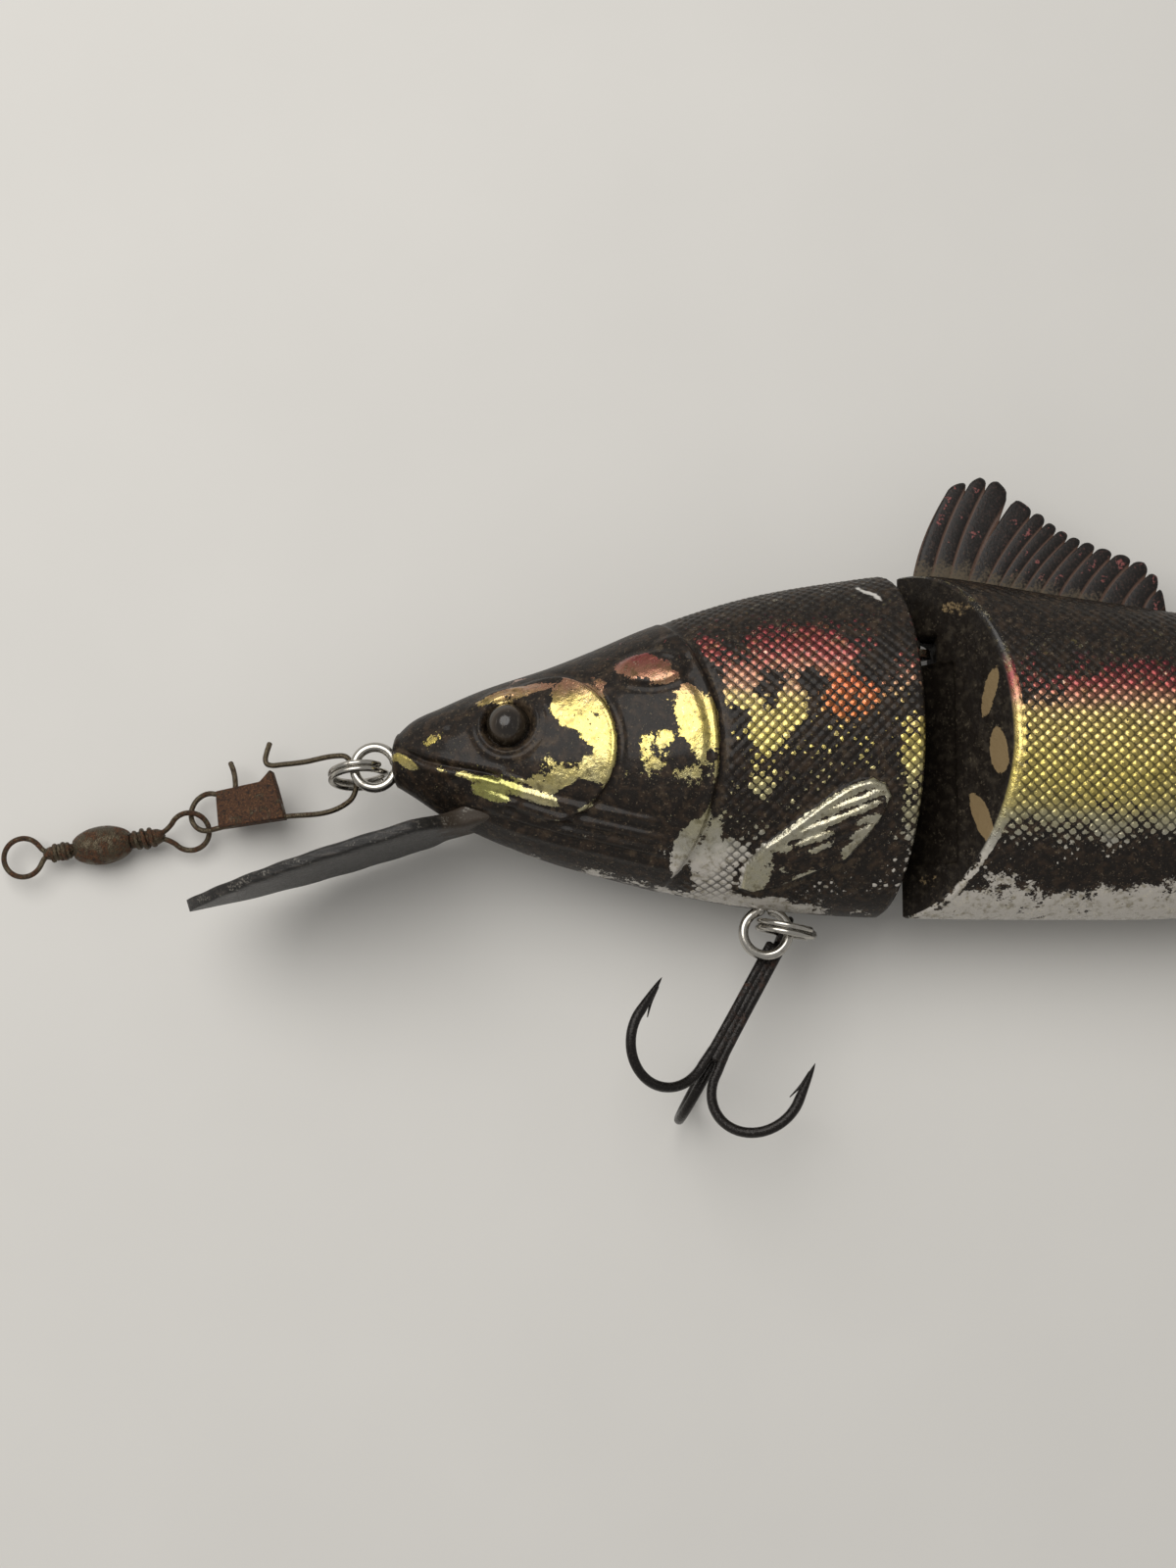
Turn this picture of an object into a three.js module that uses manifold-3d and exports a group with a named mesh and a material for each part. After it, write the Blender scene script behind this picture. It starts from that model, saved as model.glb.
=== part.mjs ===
// A jointed fishing lure shaped like a trout, lying on its right side, in millimetres.
// +X runs from nose to tail, +Y towards the back and +Z up, out of the left flank.
// Lengths below are measured from the nose, and heights from the line through its tip.

import * as THREE from 'three';
import { mergeVertices } from 'three/addons/utils/BufferGeometryUtils.js';
import Module from 'manifold-3d';

const wasm = await Module();
wasm.setup();

// The whole lure
const midPlane = 16;
const flatSpotX = 70;
const flatSpotY = 2;
const gap = 0.3;
const belowBody = -4;
const aboveBody = 36;

// Body outline at stations along the fish: back, belly and half thickness
const stations = [0, 3, 8, 14, 25, 40, 55, 70, 82, 105, 124, 150, 175, 196];
const backHeights = [2.9, 5.8, 8.2, 10.8, 14.5, 20.5, 25.4, 28.2, 29.4, 26.2, 23.3, 18.9, 13.4, 9.8];
const bellyHeights = [-3.9, -5.7, -9, -12.1, -16.4, -20.4, -23.4, -24.8, -25.2, -25.4, -25.1, -21.8, -14, -8.2];
const halfThicknesses = [3.4, 5.6, 8.3, 10.4, 13, 15.3, 16.3, 16.4, 16.4, 16.4, 16.4, 16.1, 9.8, 4.2];
const backFullness = 2.2;
const bellyFullness = 1.75;
const bodySides = 24;

// V-shaped joint
const notchX = 76.6;
const notchSlope = 0.34;
const wedgeX = 80.4;
const wedgeSlope = 0.955;
const wedgePanel = { top: 14.2, bottom: -17, depth: 0.7, reach: 7.4 };
const hingeX = 83.2;
const hingeHeight = 16.8;
const tongueThickness = 1.2;
const tongueRadius = 2.3;
const tongueLength = 14;
const hingeSlotHeight = 4.6;
const pinRadius = 0.8;
const pinLength = 9;
const headEnd = 86;
const rearStart = 78;
const rearEnd = 196;

// Relief on the head
const eyeX = 18.7;
const eyeHeight = 4;
const eyeRadius = 3.4;
const eyeRimRadius = 4.7;
const eyeSeat = 9.2;
const eyeDome = 1.5;
const cheek = { x: 25, height: 0.3, length: 10.8, breadth: 11.6, raise: 0.8 };
const templeOval = { x: 40.7, height: 11.8, length: 6, breadth: 3.2, raise: 1.3 };
const gillCover = { x: 21.4, height: -0.2, radius: 30, raise: 1.2 };
const mouthDepth = 0.6;
const pectoralRaise = 1.1;
const ribRaise = 1.6;
const ribCount = 3;

// Diving lip: distances are from its tip, along the plate
const lipLength = 51;
const lipHalfWidth = 13;
const lipRootHalfWidth = 6.5;
const lipTaperLength = 27;
const lipShoulder = 37;
const lipRootStart = 45.5;
const lipThickness = 2.5;
const lipTipThickness = 1.9;
const lipSlope = THREE.MathUtils.degToRad(17.2);
const lipTip = new THREE.Vector3(-31.8, -23.2, midPlane);

// Wire fittings
const towEyeRadius = 3.25;
const hookEyeRadius = 3.54;
const eyeWire = 0.78;
const eyeStem = 4.2;
const splitRingRadius = 4.4;
const splitRingWire = 0.48;
const splitRingTurns = 1.8;
const leaderWire = 0.44;

// Treble hook: distances down the shank are from the middle of its eye
const trebleEyeRadius = 1.9;
const trebleEyeWire = 0.6;
const hookWire = 0.8;
const bendRadius = 7.25;
const shankOffset = 1.45;
const bendDepth = 25.6;
const pointLength = 7.1;
const pointLean = 0.07;

// Fins
const finThickness = 1.6;
const finRoot = 2.2;

const paint = new THREE.MeshStandardMaterial({ color: 0x3a322c, roughness: 0.45, metalness: 0.3 });
const eyeGlass = new THREE.MeshStandardMaterial({ color: 0x241c18, roughness: 0.15, metalness: 0 });
const lipPlastic = new THREE.MeshStandardMaterial({ color: 0x2c2a29, roughness: 0.4, metalness: 0 });
const finPlastic = new THREE.MeshStandardMaterial({ color: 0x35292a, roughness: 0.7, metalness: 0 });
const stainless = new THREE.MeshStandardMaterial({ color: 0xb9b6ae, roughness: 0.25, metalness: 1 });
const oldBrass = new THREE.MeshStandardMaterial({ color: 0x5a4a35, roughness: 0.5, metalness: 0.9 });
const rustyIron = new THREE.MeshStandardMaterial({ color: 0x33261f, roughness: 0.6, metalness: 0.8 });

function solidOf(geometry) {
  const plain = geometry.clone();
  for (const name of Object.keys(plain.attributes)) {
    if (name !== 'position') {
      plain.deleteAttribute(name);
    }
  }
  const merged = mergeVertices(plain, 1e-4);
  const mesh = new wasm.Mesh({
    numProp: 3,
    vertProperties: Float32Array.from(merged.attributes.position.array),
    triVerts: Uint32Array.from(merged.index.array),
  });
  return new wasm.Manifold(mesh);
}

function geometryOf(solid) {
  const mesh = solid.getMesh();
  const geometry = new THREE.BufferGeometry();
  geometry.setAttribute('position', new THREE.BufferAttribute(Float32Array.from(mesh.vertProperties), 3));
  geometry.setIndex(new THREE.BufferAttribute(Uint32Array.from(mesh.triVerts), 1));
  geometry.computeVertexNormals();
  return geometry;
}

function part(name, geometry, material) {
  const mesh = new THREE.Mesh(geometry, material);
  mesh.name = name;
  return mesh;
}

// A closed skin through rings of points that all run counterclockwise as seen from +X
function loft(rings) {
  const count = rings[0].length;
  const points = rings.flat();
  const index = [];
  for (let ring = 0; ring < rings.length - 1; ring++) {
    for (let side = 0; side < count; side++) {
      const a = ring * count + side;
      const b = ring * count + ((side + 1) % count);
      index.push(a, b, a + count, b, b + count, a + count);
    }
  }
  const lastRing = (rings.length - 1) * count;
  for (let side = 1; side < count - 1; side++) {
    index.push(0, side + 1, side);
    index.push(lastRing, lastRing + side, lastRing + side + 1);
  }
  const geometry = new THREE.BufferGeometry().setFromPoints(points);
  geometry.setIndex(index);
  geometry.computeVertexNormals();
  return geometry;
}

function wire(points, radius, steps, sides = 6) {
  const section = new THREE.Shape().absarc(0, 0, radius, 0, 2 * Math.PI);
  const path = new THREE.CatmullRomCurve3(points, false, 'centripetal');
  return new THREE.ExtrudeGeometry(section, { steps, extrudePath: path, curveSegments: sides / 2 });
}

function plate(outline, lowZ, highZ, curveSegments = 12) {
  const settings = { depth: highZ - lowZ, bevelEnabled: false, curveSegments };
  return new THREE.ExtrudeGeometry(outline, settings).translate(0, 0, lowZ);
}

function box(lowX, highX, lowY, highY, lowZ, highZ) {
  const geometry = new THREE.BoxGeometry(highX - lowX, highY - lowY, highZ - lowZ);
  return geometry.translate((lowX + highX) / 2, (lowY + highY) / 2, (lowZ + highZ) / 2);
}

function shapeThrough(corners) {
  return new THREE.Shape(corners.map(([x, y]) => new THREE.Vector2(x, y)));
}

function curvedShape(corners) {
  const points = corners.map(([x, y]) => new THREE.Vector3(x, y, 0));
  const curve = new THREE.CatmullRomCurve3(points, true, 'centripetal');
  return new THREE.Shape(curve.getPoints(corners.length * 2).slice(1).map((p) => new THREE.Vector2(p.x, p.y)));
}

function outlineCurve(values) {
  const curve = new THREE.CubicInterpolant(stations, values, 1);
  return (x) => curve.evaluate(x)[0];
}

const backAt = outlineCurve(backHeights);
const bellyAt = outlineCurve(bellyHeights);
const halfThicknessAt = outlineCurve(halfThicknesses);

function bodyRing(x, grow) {
  const top = backAt(x) + grow;
  const bottom = bellyAt(x) - grow;
  const middle = (top + bottom) / 2;
  const half = halfThicknessAt(x) + grow;
  const ring = [];
  for (let side = 0; side < bodySides; side++) {
    const angle = (2 * Math.PI * side) / bodySides;
    const up = Math.cos(angle);
    const out = Math.sin(angle);
    const power = 2 / (up > 0 ? backFullness : bellyFullness);
    const y = middle + (top - middle) * Math.sign(up) * Math.abs(up) ** power;
    const z = midPlane + half * Math.sign(out) * Math.abs(out) ** power;
    ring.push(new THREE.Vector3(x, y, z));
  }
  return ring;
}

const headStations = [0, 1.2, 3, 6, 10, 14, 19, 25, 32, 39, 47, 56, 66, 76, headEnd];
const rearStations = [rearStart, 85, 95, 107, 120, 133, 145, 155, 164, 173, 182, 190, rearEnd];

function bodySolid(xs, growAt = () => 0) {
  return solidOf(loft(xs.map((x) => bodyRing(x, growAt(x)))));
}

// The flanks end flat where the lure lies on them
function trimmedAtTable(solid) {
  return solid.intersect(solidOf(box(-80, 260, -80, 80, 0, 60)));
}

// A V-sided prism that covers everything ahead of the V, or behind it
function vPrism(tipX, slope, farX, lowY, highY) {
  const reach = 30;
  const outline = shapeThrough([
    [farX, -reach],
    [tipX + slope * reach, -reach],
    [tipX, 0],
    [tipX + slope * reach, reach],
    [farX, reach],
  ]);
  const prism = plate(outline, -highY, -lowY);
  return solidOf(prism.rotateX(Math.PI / 2).translate(0, 0, midPlane));
}

function ellipse(x, y, radiusX, radiusY) {
  return new THREE.Shape().absellipse(x, y, radiusX, radiusY, 0, 2 * Math.PI, false, 0);
}

// A raised area on both flanks of the head: grow gives its height at each station
function raisedOnHead(outline, growAt, curveSegments = 12) {
  return solidOf(plate(outline, belowBody, aboveBody, curveSegments)).intersect(bodySolid(headStations, growAt));
}

// Height that fades in from nothing at one station to all of it at another
function fade(from, to, height) {
  return (x) => height * THREE.MathUtils.smoothstep(x, from, to);
}

function gillCoverOutline() {
  const outline = new THREE.Shape();
  const angle = THREE.MathUtils.degToRad(37);
  outline.absarc(gillCover.x, gillCover.height, gillCover.radius, -angle, angle, false);
  outline.lineTo(33, 15.5);
  outline.lineTo(30, -14.5);
  return outline;
}

const pectoralOutline = [
  [54.3, -20.6],
  [57.7, -14.6],
  [66.6, -8.2],
  [72.6, -5],
  [77, -6.6],
  [75.6, -12],
  [71.4, -17.2],
  [61, -20.8],
];

function pectoralRib(order) {
  const rootX = 57;
  const rootY = -19.4;
  const angle = THREE.MathUtils.degToRad(14 + 13 * order);
  const length = 17.5 + 2.4 * order;
  const halfWidth = 0.42;
  const shape = shapeThrough([
    [rootX, rootY - halfWidth],
    [rootX + length, rootY - halfWidth],
    [rootX + length, rootY + halfWidth],
    [rootX, rootY + halfWidth],
  ]);
  const strip = plate(shape, belowBody, aboveBody);
  strip.translate(-rootX, -rootY, 0);
  strip.rotateZ(angle);
  strip.translate(rootX, rootY, 0);
  return solidOf(strip).intersect(bodySolid(headStations, () => ribRaise));
}

function mouthGroove() {
  const outline = shapeThrough([
    [-1, 1.4],
    [4, -0.4],
    [16, -3.4],
    [16.3, -4.1],
    [3.6, -1.2],
    [-1, 0.5],
  ]);
  return solidOf(plate(outline, belowBody, aboveBody)).subtract(bodySolid(headStations, () => -mouthDepth));
}

function eyeSeats() {
  const depth = 12;
  const seats = [1, -1].map((side) => {
    const seat = new THREE.CylinderGeometry(eyeRadius + gap, eyeRadius + gap, depth, 14).rotateX(Math.PI / 2);
    return solidOf(seat.translate(eyeX, eyeHeight, midPlane + side * (eyeSeat + depth / 2)));
  });
  return seats[0].add(seats[1]);
}

function eyeball(side) {
  const profile = [new THREE.Vector2(0, 0), new THREE.Vector2(eyeRadius, 0), new THREE.Vector2(eyeRadius, 1.3)];
  const steps = 3;
  for (let step = 1; step <= steps; step++) {
    const angle = (Math.PI / 2) * (step / steps);
    const radius = step === steps ? 0 : eyeRadius * Math.cos(angle);
    profile.push(new THREE.Vector2(radius, 1.3 + eyeDome * Math.sin(angle)));
  }
  const dome = new THREE.LatheGeometry(profile, 14).rotateX((side * Math.PI) / 2);
  return dome.translate(eyeX, eyeHeight, midPlane + side * (eyeSeat + gap));
}

function lipRing(s, margin) {
  const taper = Math.max(0, 1 - s / lipTaperLength);
  const shoulder = THREE.MathUtils.smoothstep(s, lipShoulder, lipRootStart);
  const full = lipHalfWidth * Math.max(1 - taper ** 2, 0) ** 0.8;
  const half = THREE.MathUtils.lerp(full, lipRootHalfWidth, shoulder) + margin;
  const thick = THREE.MathUtils.lerp(lipTipThickness, lipThickness, Math.min(s / lipTaperLength, 1)) / 2 + margin;
  const edge = Math.min(0.6, half * 0.4);
  const corners = [
    [thick, -half + edge],
    [thick, half - edge],
    [thick - edge, half],
    [edge - thick, half],
    [-thick, half - edge],
    [-thick, edge - half],
    [edge - thick, -half],
    [thick - edge, -half],
  ];
  return corners.map(([y, z]) => new THREE.Vector3(s, y, z));
}

function lipPlate(margin = 0, from = 0.25) {
  const marks = [0.25, 1.2, 3, 6, 10, 15, 20, lipTaperLength, lipShoulder, 40, 42, 44, lipRootStart];
  const rings = marks.filter((s) => s >= from).concat(lipLength + margin).map((s) => lipRing(s, margin));
  return loft(rings).rotateZ(lipSlope).translate(lipTip.x, lipTip.y, lipTip.z);
}

// A ring of wire with a stem that runs into the body, along +X
function screwEye(radius, wireRadius, stemLength = eyeStem) {
  const ring = solidOf(new THREE.TorusGeometry(radius, wireRadius, 6, 14));
  const stem = new THREE.CylinderGeometry(wireRadius, wireRadius, stemLength, 6).rotateZ(Math.PI / 2);
  return geometryOf(ring.add(solidOf(stem.translate(radius + stemLength / 2, 0, 0))));
}

function screwEyeCut(radius) {
  return screwEye(radius, eyeWire + gap, eyeStem + gap);
}

// Nearly two turns of wire lying face to face, with a step between its two ends where the wire changes sides
function splitRing() {
  const steps = 22;
  const stepStart = 0.45;
  const stepEnd = 0.55;
  const pitch = 2 * splitRingWire + 0.06;
  const points = [];
  for (let k = 0; k <= steps; k++) {
    const t = k / steps;
    const angle = Math.PI * (2 - splitRingTurns + 2 * splitRingTurns * t);
    const lift = pitch * (THREE.MathUtils.smoothstep(t, stepStart, stepEnd) - 0.5);
    points.push(new THREE.Vector3(splitRingRadius * Math.cos(angle), lift, splitRingRadius * Math.sin(angle)));
  }
  return wire(points, splitRingWire, steps);
}

const towEyePlace = new THREE.Matrix4().makeTranslation(-2.74, -1.25, midPlane);

function headSection() {
  let head = bodySolid(headStations);
  head = head.add(raisedOnHead(gillCoverOutline(), fade(33, 50, gillCover.raise), 5));
  const { x, height, length, breadth } = cheek;
  head = head.add(raisedOnHead(ellipse(x, height, length, breadth), fade(14, 30, cheek.raise), 7));
  const oval = ellipse(templeOval.x, templeOval.height, templeOval.length, templeOval.breadth);
  head = head.add(raisedOnHead(oval, fade(30, 44, templeOval.raise), 5));
  head = head.add(raisedOnHead(curvedShape(pectoralOutline), () => pectoralRaise));
  for (let order = 0; order < ribCount; order++) {
    head = head.add(pectoralRib(order));
  }
  head = head.add(raisedOnHead(ellipse(eyeX, eyeHeight, eyeRimRadius, eyeRimRadius), () => 0.5, 7));
  head = head.subtract(eyeSeats());
  head = head.subtract(mouthGroove());
  head = head.subtract(vPrism(notchX, notchSlope, 130, -60, 60));
  head = head.subtract(solidOf(lipPlate(gap, lipShoulder)));
  head = head.subtract(solidOf(screwEyeCut(towEyeRadius).applyMatrix4(towEyePlace)));
  head = head.subtract(solidOf(hookEyeCut(bellyHook)));
  head = head.subtract(solidOf(tongueSlot()));
  return geometryOf(trimmedAtTable(head));
}

function tongueSlot() {
  const half = tongueThickness / 2 + gap;
  const wide = tongueRadius + gap;
  const front = hingeX - tongueLength - gap;
  return box(front, hingeX, hingeHeight - half, hingeHeight + half, midPlane - wide, midPlane + wide);
}

// The metal tongue that the hinge pin passes through
function hingeTongue() {
  const outline = new THREE.Shape();
  outline.moveTo(hingeX - tongueLength, -tongueRadius);
  outline.lineTo(hingeX, -tongueRadius);
  outline.absarc(hingeX, 0, tongueRadius, -Math.PI / 2, Math.PI / 2, false);
  outline.lineTo(hingeX - tongueLength, tongueRadius);
  outline.holes.push(new THREE.Path().absarc(hingeX, 0, pinRadius + gap, 0, 2 * Math.PI, true));
  const sheet = plate(outline, -tongueThickness / 2, tongueThickness / 2, 8);
  return sheet.rotateX(-Math.PI / 2).translate(0, hingeHeight, midPlane);
}

function hingePin(margin = 0) {
  const radius = pinRadius + margin;
  const pin = new THREE.CylinderGeometry(radius, radius, pinLength + 2 * margin, 12);
  return pin.translate(hingeX, hingeHeight, midPlane);
}

function rearSection() {
  let rear = bodySolid(rearStations);
  rear = rear.subtract(vPrism(wedgeX, wedgeSlope, 40, -60, 60));
  const { top, bottom, depth, reach } = wedgePanel;
  const panel = vPrism(wedgeX + depth * Math.hypot(1, wedgeSlope), wedgeSlope, 40, bottom, top);
  const panelEdge = solidOf(box(40, wedgeX + reach, bottom, top, -10, 50));
  rear = rear.subtract(panel.intersect(panelEdge));
  const slotHalf = hingeSlotHeight / 2;
  const slotEnd = hingeX + tongueRadius + gap;
  const slot = box(60, slotEnd, hingeHeight - slotHalf, hingeHeight + slotHalf, midPlane - 8, midPlane + 8);
  rear = rear.subtract(solidOf(slot));
  rear = rear.subtract(solidOf(hingePin(gap)));
  const slotSide = finThickness / 2 + gap;
  rear = rear.subtract(solidOf(plate(dorsalRoot(gap), midPlane - slotSide, midPlane + slotSide)));
  const tailSlot = box(tailFin.rootX - gap, rearEnd + 5, -14, 16, midPlane - slotSide, midPlane + slotSide);
  rear = rear.subtract(solidOf(tailSlot));
  rear = rear.subtract(solidOf(hookEyeCut(rearHook)));
  return geometryOf(trimmedAtTable(rear));
}

// The fin on the back: rays lean back from its base and end in rounded tips
const dorsal = {
  frontX: 83,
  rearX: 122.6,
  frontEdge: [
    [84.6, 34.4],
    [86.8, 39.6],
  ],
  rayTips: [
    [89.6, 44.2],
    [91.6, 45.4],
    [94.2, 45.9],
    [96.7, 45.3],
    [101.2, 41.8],
    [103.2, 40.2],
    [105.2, 38.8],
    [107.2, 37.5],
    [109.3, 36.3],
    [111.4, 35.3],
    [113.7, 34.4],
    [116.4, 33.5],
    [119.2, 32.5],
    [121.4, 30.8],
    [122.8, 28.2],
  ],
  notchAfter: 3,
  notch: [96.9, 40.3],
  valley: 0.9,
};

function dorsalRoot(margin) {
  const low = finRoot + margin;
  const front = dorsal.frontX - margin;
  const rear = dorsal.rearX + margin;
  return shapeThrough([
    [front, backAt(front) - low],
    [rear, backAt(rear) - low],
    [rear, backAt(rear) + 4],
    [front, backAt(front) + 4],
  ]);
}

function dorsalOutline() {
  const { frontX, rearX, frontEdge, rayTips, notchAfter, notch, valley } = dorsal;
  const outline = new THREE.Shape();
  outline.moveTo(rearX, backAt(rearX) - finRoot);
  outline.lineTo(frontX, backAt(frontX) - finRoot);
  outline.lineTo(frontX, backAt(frontX) + 0.5);
  for (const corner of [...frontEdge, rayTips[0]]) {
    outline.lineTo(...corner);
  }
  for (let ray = 1; ray < rayTips.length; ray++) {
    const [fromX, fromY] = rayTips[ray - 1];
    const [toX, toY] = rayTips[ray];
    if (ray === notchAfter + 1) {
      outline.lineTo(...notch);
    } else {
      outline.lineTo((fromX + toX) / 2 - valley * 0.5, (fromY + toY) / 2 - valley);
    }
    outline.lineTo(toX, toY);
  }
  outline.lineTo(rearX, backAt(rearX) - finRoot);
  return outline;
}

function dorsalFin() {
  return plate(dorsalOutline(), midPlane - finThickness / 2, midPlane + finThickness / 2);
}

// The tail: a fan of rays with a shallow fork, set in a slot at the end of the body
const tailFin = { rootX: 190, baseX: 198, endX: 231, spread: 23, fork: 6, rays: 12 };

function tailOutline() {
  const { rootX, baseX, endX, spread, fork, rays } = tailFin;
  const outline = new THREE.Shape();
  const middle = 1;
  outline.moveTo(rootX, middle + 6.5);
  outline.lineTo(rootX, middle - 6.5);
  outline.lineTo(baseX, middle - 6.5);
  outline.quadraticCurveTo(baseX + 12, middle - 9, endX - 3, middle - spread);
  for (let ray = 0; ray <= rays; ray++) {
    const across = (2 * ray) / rays - 1;
    const tipX = endX - fork * (1 - across ** 2);
    outline.lineTo(tipX, middle + across * (spread - 1));
    if (ray < rays) {
      outline.lineTo(tipX - 1.2, middle + (across + 1 / rays) * (spread - 1));
    }
  }
  outline.lineTo(endX - 3, middle + spread);
  outline.quadraticCurveTo(baseX + 12, middle + 9, baseX, middle + 6.5);
  return outline;
}

function tailFinBlade() {
  return plate(tailOutline(), midPlane - finThickness / 2, midPlane + finThickness / 2, 5);
}

// One barbed point of a treble, in the plane of +Z, hanging down from the eye along -Y
function hookPoint() {
  const bendCentre = shankOffset + bendRadius;
  const points = [new THREE.Vector3(0, -bendDepth + 5, shankOffset * 0.55)];
  points.push(new THREE.Vector3(0, -bendDepth + 2.4, shankOffset * 0.8));
  const steps = 6;
  for (let k = 0; k <= steps; k++) {
    const angle = Math.PI * (1 - k / steps);
    const out = bendCentre + bendRadius * Math.cos(angle);
    points.push(new THREE.Vector3(0, -bendDepth - bendRadius * Math.sin(angle), out));
  }
  const bend = solidOf(wire(points, hookWire, 8));
  const tipOut = bendCentre + bendRadius;
  const tip = new THREE.CylinderGeometry(0.08, hookWire, pointLength, 6);
  tip.translate(0, pointLength / 2, 0).rotateX(-pointLean).translate(0, -bendDepth - 0.05, tipOut);
  const barb = shapeThrough([
    [0, 4.2],
    [0, 0.6],
    [-1.35, -0.6],
  ]);
  const barbPlate = plate(barb, -0.3, 0.3).rotateY(-Math.PI / 2).translate(0, -bendDepth, tipOut - 0.1);
  return bend.add(solidOf(tip)).add(solidOf(barbPlate));
}

function treble() {
  const ring = new THREE.TorusGeometry(trebleEyeRadius, trebleEyeWire, 5, 10).rotateY(Math.PI / 2);
  const shankTop = trebleEyeRadius;
  const shankLength = bendDepth - shankTop;
  const shank = new THREE.CylinderGeometry(1.5, 1.75, shankLength, 6);
  let hook = solidOf(ring).add(solidOf(shank.translate(0, -shankTop - shankLength / 2, 0)));
  const point = hookPoint();
  for (const turn of [60, 180, 300]) {
    hook = hook.add(point.rotate([0, turn, 0]));
  }
  return geometryOf(hook);
}

// Where each hook hangs: the middle of its screw eye, the lean of the eye and the swing of the treble
const bellyHook = { x: 58.9, y: -27.4, lean: 0, swing: -29.3, pitch: -11.6 };
const rearHook = { x: 158, y: -22.9, lean: 14, swing: -27, pitch: -11.6 };

function hookFrame({ x, y, lean }) {
  const turn = new THREE.Matrix4().makeRotationZ(THREE.MathUtils.degToRad(lean));
  return turn.setPosition(x, y, midPlane);
}

function hookEyeCut(hook) {
  return screwEyeCut(hookEyeRadius).rotateZ(Math.PI / 2).applyMatrix4(hookFrame(hook));
}

function hookSet(names, hook) {
  const group = new THREE.Group();
  group.applyMatrix4(hookFrame(hook));
  const eye = part(names.eye, screwEye(hookEyeRadius, eyeWire), stainless);
  eye.rotation.z = Math.PI / 2;
  const ring = part(names.ring, splitRing(), stainless);
  ring.position.set(3.2, 0.5, 0);
  ring.rotation.set(0.03, 0, -0.19, 'ZXY');
  const hanging = part(names.treble, treble(), rustyIron);
  hanging.position.set(3.2, 0.6, 0.25 - splitRingRadius);
  const degrees = THREE.MathUtils.degToRad;
  hanging.rotation.set(degrees(hook.pitch), 0, degrees(hook.swing), 'ZXY');
  group.add(eye, ring, hanging);
  return group;
}

// The opened snap lies in a plane of its own, with its origin in the middle of its small loop
const snapLoopRadius = 3.15;
const snapOutline = [
  [9.9, 11.2],
  [9.5, 8.4],
  [10.6, 7.45],
  [16.5, 7.7],
  [22.9, 8.6],
  [24.7, 7.6],
  [25.6, 5.6],
  [26.2, 2.9],
  [24.6, 0.4],
  [21.4, -0.9],
  [14.3, -1.3],
  [6, -2.1],
];
const stubOutline = [
  [1.6, 3],
  [3.9, 2.9],
  [4.7, 4.2],
  [4.1, 6.3],
  [3.2, 8.2],
];

function snapWire(margin = 0) {
  const points = snapOutline.map(([u, v]) => new THREE.Vector3(u, v, 0));
  const loopSteps = 8;
  for (let k = 0; k <= loopSteps; k++) {
    const angle = THREE.MathUtils.degToRad(-75 - (210 * k) / loopSteps);
    points.push(new THREE.Vector3(snapLoopRadius * Math.cos(angle), snapLoopRadius * Math.sin(angle), 0));
  }
  for (const [u, v] of stubOutline) {
    points.push(new THREE.Vector3(u, v, 0));
  }
  return wire(points, leaderWire + margin, 36);
}

function snapClip() {
  const clip = shapeThrough([
    [1.1, 3.4],
    [9.2, 4.7],
    [11.2, 7],
    [12.3, 3.8],
    [14.4, -1.8],
    [2.4, -3],
  ]);
  const folded = solidOf(plate(clip, -1, 1));
  return geometryOf(folded.subtract(solidOf(snapWire(0.25))));
}

function snap() {
  const group = new THREE.Group();
  group.position.set(-30.95, -6.94, 4);
  group.rotation.set(THREE.MathUtils.degToRad(-9.1), THREE.MathUtils.degToRad(-19.3), 0, 'YXZ');
  group.add(part('snap_wire', snapWire(), oldBrass));
  group.add(part('snap_clip', snapClip(), oldBrass));
  return group;
}

// Swivel: distances run along its axis from the middle of the barrel
const barrelHalfLength = 4.6;
const barrelRadius = 3.15;
const barrelEndRadius = 1.75;
const boreRadius = 0.95;
const chamberRadius = 2;
const chamberHalfLength = 3.6;
const stemRadius = 0.6;
const swivelLoopRadius = 3.15;
const stemHead = { radius: 1.6, from: 2.4, to: 3.2 };

// A shape turned about the X axis, through corners given as radius and distance along it
function turned(corners, sides) {
  const profile = corners.map(([radius, along]) => new THREE.Vector2(radius, along));
  return new THREE.LatheGeometry(profile, sides).rotateZ(-Math.PI / 2);
}

function swivelBarrel() {
  const outside = [];
  const steps = 5;
  for (let k = 0; k <= steps; k++) {
    const along = (2 * k) / steps - 1;
    const bulge = Math.max(1 - along ** 2, 0) ** 0.6;
    outside.push([THREE.MathUtils.lerp(barrelEndRadius, barrelRadius, bulge), along * barrelHalfLength]);
  }
  const inside = [
    [boreRadius, barrelHalfLength],
    [boreRadius, chamberHalfLength],
    [chamberRadius, chamberHalfLength - 0.1],
    [chamberRadius, 0.1 - chamberHalfLength],
    [boreRadius, -chamberHalfLength],
    [boreRadius, -barrelHalfLength],
  ];
  return turned([...outside, ...inside, outside[0]], 12);
}

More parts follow.
